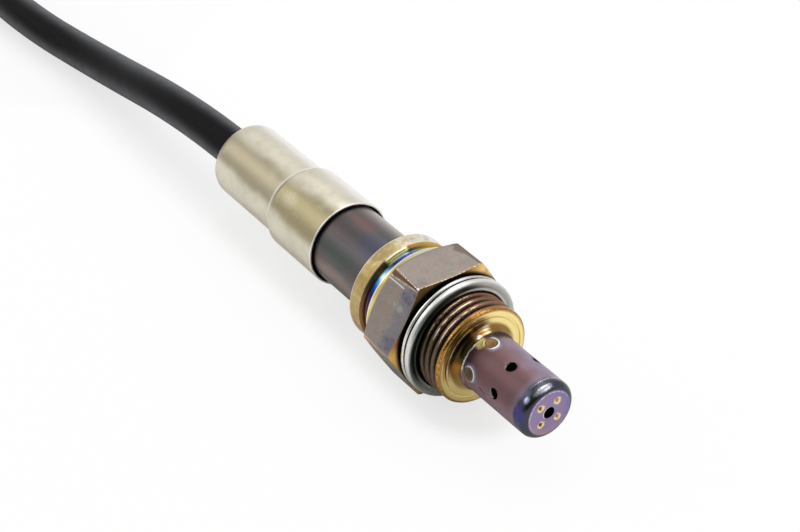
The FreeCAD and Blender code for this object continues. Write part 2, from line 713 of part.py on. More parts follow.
def hank_outline():
    """The hank seen from above: two round end loops that sweep in to a narrow waist."""
    loop = LOOP_OUTSIDE
    sweep = HANK_SWEEP_RADIUS - CABLE_DIAMETER / 2
    waist = HANK_STRAND + CABLE_DIAMETER / 2
    edges = []
    for end in (1, -1):
        centre_x = end * (HANK_WAIST_LENGTH / 2 + LOOP_REACH)
        flat_x = end * HANK_HALF
        flat = [Vector(flat_x, side * HANK_FLAT / 2, 0) for side in (1, -1)]
        edges.append(Part.LineSegment(*flat).toShape())
        for side in (1, -1):
            meet = math.pi / 2 + LOOP_TURN
            corners = []
            for angle in (FLAT_TURN, (FLAT_TURN + meet) / 2, meet):
                x = centre_x + end * loop * math.cos(angle)
                corners.append(Vector(x, side * loop * math.sin(angle), 0))
            edges.append(Part.Arc(*corners).toShape())
            inner = []
            for angle in (LOOP_TURN, LOOP_TURN / 2, 0.0):
                x = end * (HANK_WAIST_LENGTH / 2 + sweep * math.sin(angle))
                inner.append(Vector(x, side * (waist + sweep * (1 - math.cos(angle))), 0))
            edges.append(Part.Arc(*inner).toShape())
    for side in (1, -1):
        start = Vector(-HANK_WAIST_LENGTH / 2, side * waist, 0)
        end_point = Vector(HANK_WAIST_LENGTH / 2, side * waist, 0)
        edges.append(Part.LineSegment(start, end_point).toShape())
    return Part.Face(Part.Wire(Part.__sortEdges__(edges)))


def cable_hank():
    """The outer shape of the put-away length, folded in three passes and tied at its waist."""
    body = hank_outline().extrude(Vector(0, 0, HANK_HEIGHT))
    for end in (1, -1):
        centre = Vector(end * (HANK_WAIST_LENGTH / 2 + LOOP_REACH), 0, -1)
        eye = Part.makeCylinder(HANK_LOOP_RADIUS - CABLE_DIAMETER / 2, HANK_HEIGHT + 2, centre)
        body = body.cut(eye)
    body.translate(Vector(HANK_X, 0, FLOOR))
    return body.cut(tie_band(1.0, 0.0).common(body))


def tie_band(grow, gap):
    """A rectangular band round the hank's waist, wider by grow and clear of the waist by gap."""
    half_width = HANK_STRAND + CABLE_DIAMETER / 2 - TIE_THICKNESS
    low = FLOOR
    high = FLOOR + HANK_HEIGHT
    outside = block(
        HANK_X + TIE_WIDTH / 2 + grow / 2,
        HANK_X - TIE_WIDTH / 2 - grow / 2,
        half_width + TIE_THICKNESS + grow,
        low - grow,
        high + grow,
    )
    inside = block(
        HANK_X + TIE_WIDTH / 2 + 1 + grow,
        HANK_X - TIE_WIDTH / 2 - 1 - grow,
        half_width + gap,
        low + TIE_THICKNESS - gap,
        high - TIE_THICKNESS + gap,
    )
    return outside.cut(inside)


def hank_tie():
    """The nylon tie round the waist of the hank, with its head on top."""
    top = FLOOR + HANK_HEIGHT
    head = block(
        HANK_X + TIE_HEAD_LENGTH / 2,
        HANK_X - TIE_HEAD_LENGTH / 2,
        TIE_HEAD_WIDTH / 2,
        top,
        top + TIE_HEAD_HEIGHT,
    )
    return tie_band(0.0, FIT).fuse(head).removeSplitter()


def cable_tail():
    """The last of the cable, from the hank to the plug's boot."""
    start = Vector(HANK_FAR_X, 0, TAIL_Z)
    return Part.makeCylinder(CABLE_DIAMETER / 2, TAIL_LENGTH, start, Vector(-1, 0, 0))


def plug_boot():
    """The ribbed rubber boot that joins the cable to the plug."""
    tip = BOOT_TIP_DIAMETER / 2
    root = BOOT_ROOT_DIAMETER / 2
    slope = (root - tip) / BOOT_LENGTH
    step = BOOT_LENGTH / (BOOT_RIB_COUNT + 1)
    boot = turned([(BOOT_X, 0), (BOOT_X, tip, BOOT_TIP_FILLET), (PLUG_X, root), (PLUG_X, 0)])
    for i in range(BOOT_RIB_COUNT):
        x = BOOT_X - (i + BOOT_FIRST_RIB) * step
        radius = tip + (BOOT_X - x) * slope
        boot = boot.cut(ring(x, x - BOOT_RIB_WIDTH, 2 * root, 2 * (radius - BOOT_RIB_DEPTH)))
    boot.translate(Vector(0, 0, TAIL_Z))
    return boot


def plug_housing():
    """The plug's body, with a collar, the contact carrier in front and a latch arm on top."""
    body = rounded_bar(PLUG_X, CARRIER_X, PLUG_WIDTH, PLUG_HEIGHT, PLUG_CORNER, PLUG_Z)
    collar = rounded_bar(
        CARRIER_X + PLUG_COLLAR_LENGTH,
        CARRIER_X,
        PLUG_WIDTH + 2 * PLUG_COLLAR,
        PLUG_HEIGHT + 2 * PLUG_COLLAR,
        PLUG_CORNER + PLUG_COLLAR,
        PLUG_Z,
    )
    front = CARRIER_X - CARRIER_LENGTH
    carrier = rounded_bar(CARRIER_X, front, CARRIER_WIDTH, CARRIER_HEIGHT, CARRIER_CORNER, PLUG_Z)
    top = PLUG_Z + CARRIER_HEIGHT / 2
    arm = block(
        CARRIER_X,
        front,
        LATCH_WIDTH / 2,
        top + LATCH_GAP,
        top + LATCH_GAP + LATCH_THICKNESS,
    )
    bridge = block(front + LATCH_BRIDGE, front, LATCH_WIDTH / 2, top, top + LATCH_GAP)
    tooth = block(
        front + 2 * LATCH_BRIDGE,
        front + LATCH_BRIDGE,
        LATCH_WIDTH / 2,
        top + LATCH_GAP + LATCH_THICKNESS,
        top + LATCH_GAP + LATCH_THICKNESS + LATCH_TOOTH,
    )
    made = body.fuse([collar, carrier, arm, bridge, tooth]).removeSplitter()
    cavities = []
    for y, z in pin_places():
        half = PIN_CAVITY / 2
        cavity = block(front + PIN_CAVITY_DEPTH, front - 1, half, z - half, z + half)
        cavity.translate(Vector(0, y, 0))
        cavities.append(cavity)
    pocket_top = PLUG_Z + PLUG_HEIGHT / 2
    pocket = block(
        PLUG_X - LOCK_LENGTH / 2 + FIT,
        PLUG_X - LOCK_LENGTH * 1.5 - FIT,
        LOCK_WIDTH / 2 + FIT,
        pocket_top - LOCK_THICKNESS - FIT,
        pocket_top + 1,
    )
    return made.cut(cavities + [pocket])


def pin_places():
    """Y and Z of the four contacts in the plug."""
    half = PIN_PITCH / 2
    return [(y, PLUG_Z + z) for z in (half, -half) for y in (-half, half)]


def plug_pins():
    """Four square socket contacts, each set back a little in its cavity."""
    front = CARRIER_X - CARRIER_LENGTH + PIN_RECESS
    rear = CARRIER_X - CARRIER_LENGTH + PIN_CAVITY_DEPTH
    inner = PIN_SIZE / 2 - PIN_WALL
    pins = []
    for y, z in pin_places():
        pin = block(rear, front, PIN_SIZE / 2, z - PIN_SIZE / 2, z + PIN_SIZE / 2)
        pin = pin.cut(block(rear - 2, front - 1, inner, z - inner, z + inner))
        pin.translate(Vector(0, y, 0))
        pins.append(pin)
    return Part.makeCompound(pins)


def plug_lock():
    """The sliding piece that locks the contacts in the plug."""
    top = PLUG_Z + PLUG_HEIGHT / 2
    front = PLUG_X - LOCK_LENGTH / 2
    rear = PLUG_X - LOCK_LENGTH * 1.5
    plate = block(front, rear, LOCK_WIDTH / 2, top - LOCK_THICKNESS, top)
    grips = []
    for i in range(LOCK_GRIP_COUNT):
        x = front - (2 * i + 1) * LOCK_GRIP_WIDTH
        grips.append(block(x, x - LOCK_GRIP_WIDTH, LOCK_WIDTH / 2 - 1, top - LOCK_GRIP_DEPTH, top + 1))
    return plate.cut(grips)


def plug_seal():
    """The rubber ring round the contact carrier."""
    rear = CARRIER_X - SEAL_LENGTH
    inside = rounded_bar(
        CARRIER_X + 1,
        rear - 1,
        CARRIER_WIDTH + 2 * FIT,
        CARRIER_HEIGHT + 2 * FIT,
        CARRIER_CORNER + FIT,
        PLUG_Z,
    )
    outside = rounded_bar(
        CARRIER_X - FIT,
        rear,
        CARRIER_WIDTH + 2 * SEAL_THICKNESS,
        CARRIER_HEIGHT + 2 * SEAL_THICKNESS,
        CARRIER_CORNER + SEAL_THICKNESS,
        PLUG_Z,
    )
    return outside.cut(inside)


def pieces():
    """Every piece of the sensor by name."""
    made = {
        "outer_protector": outer_protector(),
        "inner_protector": inner_protector(),
        "sensing_element": sensing_element(),
        "metal_shell": metal_shell(),
        "gasket": gasket(),
        "front_ceramic": packed_ring(FRONT_CERAMIC_X, FRONT_CERAMIC_LENGTH, CERAMIC_DIAMETER),
        "packing_powder": packed_ring(POWDER_X, POWDER_LENGTH, CERAMIC_DIAMETER),
        "rear_ceramic": packed_ring(REAR_CERAMIC_X, REAR_CERAMIC_LENGTH, CERAMIC_DIAMETER),
        "pressure_ring": pressure_ring(),
        "outer_tube": outer_tube(),
        "contact_holder_upper": contact_holder(1),
        "contact_holder_lower": contact_holder(-1),
        "clamp_spring": clamp_spring(),
        "grommet": grommet(),
        "vent_membrane": vent_membrane(),
        "protective_sleeve": protective_sleeve(),
        "cable_run": cable_run(),
        "cable_hank": cable_hank(),
        "hank_tie": hank_tie(),
        "cable_tail": cable_tail(),
        "plug_boot": plug_boot(),
        "plug_housing": plug_housing(),
        "plug_pins": plug_pins(),
        "plug_lock": plug_lock(),
        "plug_seal": plug_seal(),
    }
    for i, (y, z, side) in enumerate(lead_places(), 1):
        made[f"contact_spring_{i}"] = contact_spring(y, side)
        made[f"crimp_{i}"] = crimp(y, z)
        made[f"lead_wire_{i}"] = lead_wire(y, z)
    return made


def main():
    os.makedirs("parts", exist_ok=True)
    for name, shape in pieces().items():
        solids = len(shape.Solids)
        box = shape.BoundBox
        print(
            f"{name}: {solids} solid, valid {shape.isValid()}, volume {shape.Volume:.2f}, "
            f"x {box.XMin:.2f} to {box.XMax:.2f}, z {box.ZMin:.2f} to {box.ZMax:.2f}"
        )
        shape.exportStep(f"parts/{name}.step")


main()
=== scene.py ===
"""The look of an exhaust oxygen sensor with its cable and plug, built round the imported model.

The scene is in metres, in the model's own frame: +X runs out of the threaded tip and +Z is up. Outlines
are written in millimetres, as (x, radius), and angles round the axis go from +Z towards +Y.
"""

import math

import bmesh
import bpy
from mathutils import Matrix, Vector


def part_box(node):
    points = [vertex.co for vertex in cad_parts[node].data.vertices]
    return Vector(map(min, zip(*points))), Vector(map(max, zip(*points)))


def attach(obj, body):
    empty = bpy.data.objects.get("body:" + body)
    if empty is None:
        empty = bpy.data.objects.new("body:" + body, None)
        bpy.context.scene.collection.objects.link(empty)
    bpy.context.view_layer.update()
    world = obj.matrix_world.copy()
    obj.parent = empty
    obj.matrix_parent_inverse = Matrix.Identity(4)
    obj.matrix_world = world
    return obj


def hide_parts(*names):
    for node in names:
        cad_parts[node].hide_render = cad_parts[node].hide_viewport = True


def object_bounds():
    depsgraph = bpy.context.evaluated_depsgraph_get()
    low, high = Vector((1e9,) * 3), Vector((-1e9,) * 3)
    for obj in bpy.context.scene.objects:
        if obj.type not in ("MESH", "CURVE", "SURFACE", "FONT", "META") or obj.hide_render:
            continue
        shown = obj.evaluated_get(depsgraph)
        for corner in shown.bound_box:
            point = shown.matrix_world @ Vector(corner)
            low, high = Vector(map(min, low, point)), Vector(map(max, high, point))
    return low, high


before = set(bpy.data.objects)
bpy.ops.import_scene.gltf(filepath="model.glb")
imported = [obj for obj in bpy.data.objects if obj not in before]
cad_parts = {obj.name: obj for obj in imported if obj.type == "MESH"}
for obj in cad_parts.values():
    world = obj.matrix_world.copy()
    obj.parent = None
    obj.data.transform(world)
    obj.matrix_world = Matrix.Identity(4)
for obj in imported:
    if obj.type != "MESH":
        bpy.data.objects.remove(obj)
CAD_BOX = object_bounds()

bl_info = {
    "name": "Oxygen Sensor",
    "version": (1, 0, 0),
    "blender": (4, 5, 0),
    "location": "3D View > Sidebar > Sensor",
    "description": "Builds a heat-tinted exhaust oxygen sensor with its cable and plug",
    "category": "Object",
}

MM = 0.001
TURN = 2 * math.pi
SHARP_ANGLE = math.radians(32)
SHELL_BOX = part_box("metal_shell")
PROTECTOR_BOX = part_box("outer_protector")
TUBE_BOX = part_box("outer_tube")
SLEEVE_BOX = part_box("protective_sleeve")
GASKET_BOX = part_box("gasket")
HANK_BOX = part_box("cable_hank")
BOOT_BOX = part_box("plug_boot")


def ink(red, green, blue):
    """A colour as a screen shows it, 0 to 255, in the linear values that the shaders use."""
    values = []
    for part in (red, green, blue):
        part = part / 255
        values.append(part / 12.92 if part <= 0.04045 else ((part + 0.055) / 1.055) ** 2.4)
    return tuple(values)


def length(name, description, millimetres):
    """A size in metres, from its value in millimetres."""
    return bpy.props.FloatProperty(
        name=name, description=description, default=millimetres * MM, unit="LENGTH", precision=5
    )


def colour(name, description, red, green, blue):
    """A colour, from its screen values."""
    return bpy.props.FloatVectorProperty(
        name=name, description=description, default=ink(red, green, blue), subtype="COLOR", min=0, max=1
    )


class SensorSizes(bpy.types.PropertyGroup):
    """Sizes of the pieces that are modelled here."""

    thread_diameter: length("Thread diameter", "Outside of the thread", 18.0)
    thread_pitch: length("Thread pitch", "From crest to crest", 1.5)
    thread_end: length("Thread end", "Station where the thread stops", 5.0)
    gasket_thickness: length("Gasket thickness", "Along the axis", 2.4)
    gasket_play: length("Gasket play", "Room between the gasket and the hexagon", 0.45)
    hex_across_flats: length("Across flats", "Hexagon, from flat to flat", 22.0)
    hex_length: length("Hexagon length", "Along the axis", 8.75)
    hex_corner: length("Hexagon corner", "Radius of its worn long edges", 0.8)
    washer_length: length("Washer face length", "Round step behind the hexagon", 1.3)
    washer_diameter: length("Washer face diameter", "Round step behind the hexagon", 20.8)
    groove_length: length("Groove length", "Between washer face and collar", 2.0)
    groove_diameter: length("Groove diameter", "Bottom of the groove", 18.0)
    collar_diameter: length("Collar diameter", "Outside of the rear collar", 19.9)
    tube_diameter: length("Tube diameter", "Outside of the heat-tinted tube", 14.6)
    protector_diameter: length("Protector diameter", "Outside of the perforated cap", 10.4)
    protector_wall: length("Protector wall", "Sheet thickness of the cap", 0.4)
    protector_corner: length("Protector corner", "Radius at the end of the cap", 1.35)
    side_hole: length("Side hole", "Diameter of the holes round the cap", 2.0)
    end_hole: length("End hole", "Diameter of the hole in the end", 2.1)
    sleeve_diameter: length("Sleeve diameter", "Outside of its wide part", 16.2)
    cable_diameter: length("Cable diameter", "Outside of the jacket", 7.5)


class SensorColours(bpy.types.PropertyGroup):
    """Colours of the finishes."""

    tint_brown: colour("Brown tint", "Middle of the cap", 116, 88, 90)
    # the cap's lavender tint, also lightened for the painted reflection on its upper side
    lavender_tint_and_reflection: colour("Lavender tint", "Cap near its welds", 150, 134, 152)
    dark_steel: colour("Dark steel", "Rounded end of the cap", 84, 86, 98)
    end_violet: colour("Violet tint", "End face of the cap", 146, 130, 168)
    gold: colour("Gold tint", "Flange, chamfers and worn edges", 236, 206, 124)
    old_gold: colour("Old gold", "Dark heat tint in corners and edges", 92, 64, 36)
    hex_mauve: colour("Mauve tint", "Flats of the hexagon", 156, 146, 138)
    hex_violet: colour("Violet patches", "Hexagon near its front", 116, 118, 150)
    collar_gold: colour("Collar gold", "Rear collar", 206, 180, 120)
    tube_grey: colour("Tube grey", "Heat-tinted tube", 102, 98, 100)
    bright_steel: colour("Bright steel", "Gasket", 226, 226, 222)
    nickel: colour("Nickel", "Protective sleeve", 214, 208, 190)
    cable_black: colour("Cable black", "Jacket", 15, 15, 16)
    plastic_black: colour("Plastic black", "Plug", 26, 26, 28)
    floor_white: colour("Floor", "Floor and background", 250, 250, 250)


def mm(name):
    """A size of the property group, in millimetres."""
    return getattr(bpy.context.scene.sensor_sizes, name) / MM


def tint(name):
    """A colour of the property group, with its alpha."""
    return (*getattr(bpy.context.scene.sensor_colours, name), 1.0)


def shade(name, level):
    """A colour of the property group, made lighter or darker by a factor."""
    return (*[min(1.0, part * level) for part in getattr(bpy.context.scene.sensor_colours, name)], 1.0)


# Outlines and meshes


def rounded(corners, pieces=6):
    """Points of an open outline from corners (x, radius) or (x, radius, fillet), the fillets as arcs."""
    points = []
    last = len(corners) - 1
    for i, corner in enumerate(corners):
        at = Vector(corner[:2])
        fillet = corner[2] if len(corner) > 2 else 0.0
        if i in (0, last) or fillet <= 0:
            points.append(at)
            continue
        back = (Vector(corners[i - 1][:2]) - at).normalized()
        forth = (Vector(corners[i + 1][:2]) - at).normalized()
        half = back.angle(forth) / 2
        centre = at + (back + forth).normalized() * (fillet / math.sin(half))
        start = at + back * (fillet / math.tan(half)) - centre
        end = at + forth * (fillet / math.tan(half)) - centre
        for k in range(pieces + 1):
            points.append(centre + start.slerp(end, k / pieces) * fillet)
    return [tuple(p) for p in points]


def between(points, spacing):
    """The same outline with long stretches divided, so that no two points are further apart."""
    made = [points[0]]
    for a, b in zip(points, points[1:]):
        parts = max(1, math.ceil(math.dist(a, b) / spacing))
        for k in range(1, parts + 1):
            made.append((a[0] + (b[0] - a[0]) * k / parts, a[1] + (b[1] - a[1]) * k / parts))
    return made


def lathe(rows, steps, closed):
    """Spins one row of points round the X axis. A row is (x, radius) or a function of the angle that
    gives it, so each vertex is put in place by its row and its angle."""
    bm = bmesh.new()
    line = [bm.verts.new((i, 0.0, 1.0)) for i in range(len(rows))]
    edges = [bm.edges.new(pair) for pair in zip(line, line[1:])]
    if closed:
        edges.append(bm.edges.new((line[-1], line[0])))
    bmesh.ops.spin(
        bm,
        geom=line + edges,
        cent=(0, 0, 0),
        axis=(1, 0, 0),
        angle=TURN,
        steps=steps,
        use_merge=True,
        use_normal_flip=False,
        use_duplicate=False,
    )
    for v in bm.verts:
        angle = math.atan2(v.co.y, v.co.z)
        row = rows[round(v.co.x)]
        x, radius = row(angle) if callable(row) else row
        v.co = Vector((x, radius * math.sin(angle), radius * math.cos(angle))) * MM
    bmesh.ops.remove_doubles(bm, verts=bm.verts, dist=1e-6)
    bmesh.ops.recalc_face_normals(bm, faces=bm.faces)
    return bm


def finished(bm, name, material, nodes, sharp=SHARP_ANGLE):
    """Makes the mesh a piece that rides on the sensor and stands for its CAD nodes."""
    for face in bm.faces:
        face.smooth = True
    for edge in bm.edges:
        if len(edge.link_faces) == 2 and edge.calc_face_angle(0.0) > sharp:
            edge.smooth = False
    mesh = bpy.data.meshes.new(name)
    bm.to_mesh(mesh)
    bm.free()
    mesh.materials.append(material)
    piece = bpy.data.objects.new(name, mesh)
    bpy.context.scene.collection.objects.link(piece)
    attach(piece, "root")
    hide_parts(*nodes)
    return piece


def folded(angle, count, first):
    """The angle from the nearest of evenly spaced marks, in radians: a number's or a shader value's."""
    share = TURN / count
    return (angle - math.radians(first) + share / 2) % share - share / 2


def hump(distance, width):
    """1 at no distance, falling smoothly to 0 at the width."""
    share = min(1.0, abs(distance) / width)
    return (1 - share * share) ** 2


# Shader expressions


class Wire:
    """One value in a shader tree, so that masks can be written as plain expressions."""

    def __init__(self, tree, socket):
        self.tree = tree
        self.socket = socket

    def math(self, operation, *others):
        values = dict(enumerate((self, *others)))
        node = new_node(self.tree, "ShaderNodeMath", {"operation": operation}, values)
        return Wire(self.tree, node.outputs[0])

    def __add__(self, other):
        return self.math("ADD", other)

    __radd__ = __add__

    def __sub__(self, other):
        return self.math("SUBTRACT", other)

    def __rsub__(self, other):
        return self * -1 + other

    def __mul__(self, other):
        return self.math("MULTIPLY", other)

    __rmul__ = __mul__

    def __truediv__(self, other):
        return self.math("DIVIDE", other)

    def __mod__(self, other):
        return self.math("FLOORED_MODULO", other)

    def __abs__(self):
        return self.math("ABSOLUTE")

    def root(self):
        return self.math("SQRT")

    def step(self, low, high):
        """0 before low and 1 after high, or the other way round where low is the larger."""
        values = {"Value": self, "From Min": low, "From Max": high}
        node = new_node(self.tree, "ShaderNodeMapRange", {"interpolation_type": "SMOOTHSTEP"}, values)
        return Wire(self.tree, node.outputs["Result"])

    def band(self, centre, width):
        """1 at the centre, falling smoothly to 0 at the width on either side."""
        return abs(self - centre).step(width, 0.0)


def feed(tree, socket, value):
    """Links a wire or a node's output to a socket, or sets a plain value on it."""
    if isinstance(value, Wire):
        tree.links.new(value.socket, socket)
    elif isinstance(value, bpy.types.NodeSocket):
        tree.links.new(value, socket)
    else:
        socket.default_value = value


def new_node(tree, kind, settings=None, values=None):
    """Adds a node to a tree: its settings first, a ramp's stops among them, then its sockets."""
    node = tree.nodes.new(kind)
    for key, value in (settings or {}).items():
        if key == "stops":
            set_stops(node.color_ramp, value)
        else:
            setattr(node, key, value)
    for key, value in (values or {}).items():
        feed(tree, node.inputs[key], value)
    return node


def set_stops(ramp, stops):
    """Gives a ramp its (position, colour) stops."""
    while len(ramp.elements) > 1:
        ramp.elements.remove(ramp.elements[-1])
    for i, (position, shown) in enumerate(stops):
        element = ramp.elements[0] if i == 0 else ramp.elements.new(position)
        element.position = position
        element.color = shown


class Finish:
    """A material in the making: its tree, the piece's own coordinates in millimetres, and its shader."""

    def __init__(self, name, metallic=0.0, roughness=0.4):
        self.material = bpy.data.materials.new(name)
        self.material.use_nodes = True
        self.tree = self.material.node_tree
        self.tree.nodes.clear()
        values = {"Metallic": metallic, "Roughness": roughness}
        self.shader = self.node("ShaderNodeBsdfPrincipled", {}, values)
        self.output = self.node("ShaderNodeOutputMaterial", {}, {"Surface": self.shader.outputs[0]})
        place = self.node("ShaderNodeTexCoord").outputs["Object"]
        scaled = self.node("ShaderNodeVectorMath", {"operation": "SCALE"}, {0: place, "Scale": 1 / MM})
        self.place = scaled.outputs[0]
        split = self.node("ShaderNodeSeparateXYZ", {}, {0: self.place})
        self.x, self.y, self.z = [Wire(self.tree, socket) for socket in split.outputs]
        self.radius = (self.y * self.y + self.z * self.z).root()
        self.angle = self.y.math("ARCTAN2", self.z)

    def node(self, kind, settings=None, values=None):
        """Adds a node to the material."""
        return new_node(self.tree, kind, settings, values)

    def ramp(self, value, stops):
        """A colour that changes with a value from 0 to 1."""
        return self.node("ShaderNodeValToRGB", {"stops": stops}, {0: value}).outputs[0]

    def stretched(self, x, y, z):
        """The coordinates, each multiplied, so that a pattern is drawn out across them."""
        return self.node("ShaderNodeMapping", {}, {"Vector": self.place, "Scale": (x, y, z)}).outputs[0]

    def wrapped(self, lengthwise, sideways, outwards=0.0):
        """Coordinates that follow the lathe: along the axis, round it, and out from it."""
        node = self.node("ShaderNodeCombineXYZ", {}, {0: self.x * lengthwise, 1: self.angle * sideways})
        if outwards:
            feed(self.tree, node.inputs[2], self.radius * outwards)
        return node.outputs[0]

    def noise(self, scale, detail=3.0, vector=None, roughness=0.55):
        """A noise of that scale per millimetre, from 0 to 1."""
        values = {"Vector": vector or self.place, "Scale": scale, "Detail": detail, "Roughness": roughness}
        return Wire(self.tree, self.node("ShaderNodeTexNoise", {}, values).outputs[0])

    def attribute(self, name):
        """A value that the mesh carries."""
        return Wire(self.tree, self.node("ShaderNodeAttribute", {"attribute_name": name}).outputs["Fac"])

    def mix(self, factor, first, second):
        """The first colour where the factor is 0 and the second where it is 1."""
        values = {0: factor, 6: first, 7: second}
        return self.node("ShaderNodeMix", {"data_type": "RGBA"}, values).outputs[2]

    def bump(self, height, depth):
        """Surface relief, from a height of 0 to 1 and a depth in millimetres."""
        values = {"Height": height, "Distance": depth * MM, "Strength": 1.0}
        return self.node("ShaderNodeBump", {}, values).outputs[0]

    def done(self, **sockets):
        """Feeds the shader's sockets, by their names with spaces as underscores, and gives the material."""
        for key, value in sockets.items():
            feed(self.tree, self.shader.inputs[key.replace("_", " ")], value)
        return self.material


# Colours and places on turned surfaces


def screen(red, green, blue):
    """A screen colour with its alpha, for a ramp or a mix."""
    return (*ink(red, green, blue), 1.0)


def turned(f, degrees):
    """The angle round the axis from a direction, from -180 to 180 degrees."""
    return (f.angle * (360 / TURN) - degrees + 180) % 360 - 180


def around(f, stops):
    """A colour ramp round the axis. A stop is its degrees, from -180 to 180, and then one colour or
    three screen values."""
    shown = [(degrees, tone[0] if len(tone) == 1 else screen(*tone)) for degrees, *tone in stops]
    return f.ramp((turned(f, 0.0) + 180) / 360, [((degrees + 180) / 360, tone) for degrees, tone in shown])


def off_place(f, x, degrees, reach_x, reach_degrees):
    """0 at a place of a turned surface and 1 at its reach along the axis and round it."""
    off_x = (f.x - x) / reach_x
    off_turn = turned(f, degrees) / reach_degrees
    return (off_x * off_x + off_turn * off_turn).root()


def stains_and_glints(f, base, stains, ragged, outer, inner):
    """Lays soft stains and painted glints over a colour, from off_place's four values, a strength and
    screen values. They start at the outer distance and are full at the inner one."""
    for *place, strength, tone in stains:
        base = f.mix((off_place(f, *place) + ragged).step(outer, inner) * strength, base, screen(*tone))
    return base


def scratch(f, start, end, radius, width):
    """A mask for one straight scratch on a cylinder, between two (x, angle in degrees) points."""
    from_y = math.radians(start[1]) * radius
    span_x = end[0] - start[0]
    span_y = math.radians(end[1]) * radius - from_y
    span = math.hypot(span_x, span_y)
    off_x = f.x - start[0]
    off_y = f.angle * radius - from_y
    along = off_x * (span_x / span) + off_y * (span_y / span)
    across = abs(off_y * (span_x / span) - off_x * (span_y / span))
    taper = along.step(-0.1, 0.25) * along.step(span + 0.1, span - 0.25)
    return across.step(width, width * 0.4) * taper


# Stage: floor, light and camera

CAMERA_PLACE = (0.1995, -0.1534, 0.1962)
CAMERA_LOOK = (-0.6628, 0.468, -0.585)
CAMERA_LENS = 87.7  # mm
CAMERA_SENSOR = 36.0  # mm
FLOOR_SIZE = 6.0  # metres
SHADOW_FRONT = 2.0  # where the shadow on the floor ends, in front of the seat
HANK_SHADOW = 36.0  # how far to the side it reaches at the hank
DARK_SIDE = (0.80, -0.60, 0.05)  # direction of the photographer
SKY_LEVELS = ((0.0, 0.75), (0.45, 0.5), (0.95, 0.06))  # brightness from the far side to there
# name, place in metres, width in metres, power in watts
LAMPS = (
    ("lamp_above", (-0.15, 0.25, 0.75), 0.7, 2.6),
    ("lamp_front", (0.55, 0.35, 0.40), 0.35, 0.6),
    ("lamp_left", (-0.55, -0.45, 0.50), 0.45, 0.7),
)


class SENSOR_OT_stage(bpy.types.Operator):
    """Lays the white floor and sets the studio light and the camera"""

    bl_idname = "sensor.stage"
    bl_label = "Stage"

    def execute(self, context):
        scene = context.scene
        scene.view_settings.view_transform = "Standard"
        self.floor(scene)
        self.world(scene)
        self.lamps(scene)
        camera = bpy.data.objects.new("camera", bpy.data.cameras.new("camera"))
        camera.data.lens = CAMERA_LENS
        camera.data.sensor_width = CAMERA_SENSOR
        camera.data.clip_start = 0.01
        camera.data.dof.use_dof = False
        camera.location = CAMERA_PLACE
        camera.rotation_mode = "QUATERNION"
        camera.rotation_quaternion = Vector(CAMERA_LOOK).to_track_quat("-Z", "Y")
        scene.collection.objects.link(camera)
        scene.camera = camera
        return {"FINISHED"}

    @staticmethod
    def floor(scene):
        """White paper that glows to the camera, a little less beside the sensor, where its shadow lies."""
        bm = bmesh.new()
        bmesh.ops.create_grid(bm, x_segments=1, y_segments=1, size=FLOOR_SIZE / 2)
        bmesh.ops.translate(bm, verts=bm.verts, vec=(0, 0, CAD_BOX[0].z))
        mesh = bpy.data.meshes.new("floor")
        bm.to_mesh(mesh)
        bm.free()
        f = Finish("white_floor")
        f.tree.nodes.remove(f.shader)
        paper = f.node("ShaderNodeBsdfDiffuse", {}, {"Color": tint("floor_white")})
        glow = f.node("ShaderNodeEmission", {}, {"Strength": 1.0})
        ray = Wire(f.tree, f.node("ShaderNodeLightPath").outputs["Is Camera Ray"])
        beyond = (f.x - SHADOW_FRONT).math("MAXIMUM", 0.0)
        beside = (abs(f.y) - f.x.step(-115.0, -150.0) * HANK_SHADOW).math("MAXIMUM", 0.0)
        away = (beyond * beyond + beside * beside).root()
        share = 0.72 + away.step(7.0, 13.0) * 0.2
        mixed = f.node("ShaderNodeMixShader", {}, {0: ray * share, 1: paper.outputs[0], 2: glow.outputs[0]})
        feed(f.tree, f.output.inputs["Surface"], mixed.outputs[0])
        mesh.materials.append(f.material)
        floor = bpy.data.objects.new("floor", mesh)
        scene.collection.objects.link(floor)

    @staticmethod
    def world(scene):
        """Even light, darker from the side where the photographer stands, and white to the camera."""
        world = bpy.data.worlds.new("studio")
        world.use_nodes = True
        tree = world.node_tree
        tree.nodes.clear()
        direction = new_node(tree, "ShaderNodeTexCoord").outputs["Generated"]
        values = {0: direction, 1: DARK_SIDE}
        facing = new_node(tree, "ShaderNodeVectorMath", {"operation": "DOT_PRODUCT"}, values)
        stops = [(position, (level, level, level, 1)) for position, level in SKY_LEVELS]
        ramp = new_node(tree, "ShaderNodeValToRGB", {"stops": stops}, {0: facing.outputs["Value"]})
        dim = new_node(tree, "ShaderNodeBackground", {}, {"Color": ramp.outputs[0]})
        white = new_node(tree, "ShaderNodeBackground", {}, {"Color": (1, 1, 1, 1)})
        seen = new_node(tree, "ShaderNodeLightPath").outputs["Is Camera Ray"]
        values = {0: seen, 1: dim.outputs[0], 2: white.outputs[0]}
        mixed = new_node(tree, "ShaderNodeMixShader", {}, values)
        new_node(tree, "ShaderNodeOutputWorld", {}, {0: mixed.outputs[0]})
        scene.world = world

    @staticmethod
    def lamps(scene):
        """Soft boxes: one high behind the sensor, one low at the side of its tip, one at the left."""
        for name, place, size, power in LAMPS:
            lamp = bpy.data.lights.new(name, "AREA")
            lamp.shape = "SQUARE"
            lamp.size = size
            lamp.energy = power
            holder = bpy.data.objects.new(name, lamp)
            holder.location = place
            holder.rotation_mode = "QUATERNION"
            holder.rotation_quaternion = (-Vector(place)).to_track_quat("-Z", "Y")
            scene.collection.objects.link(holder)


# Cable

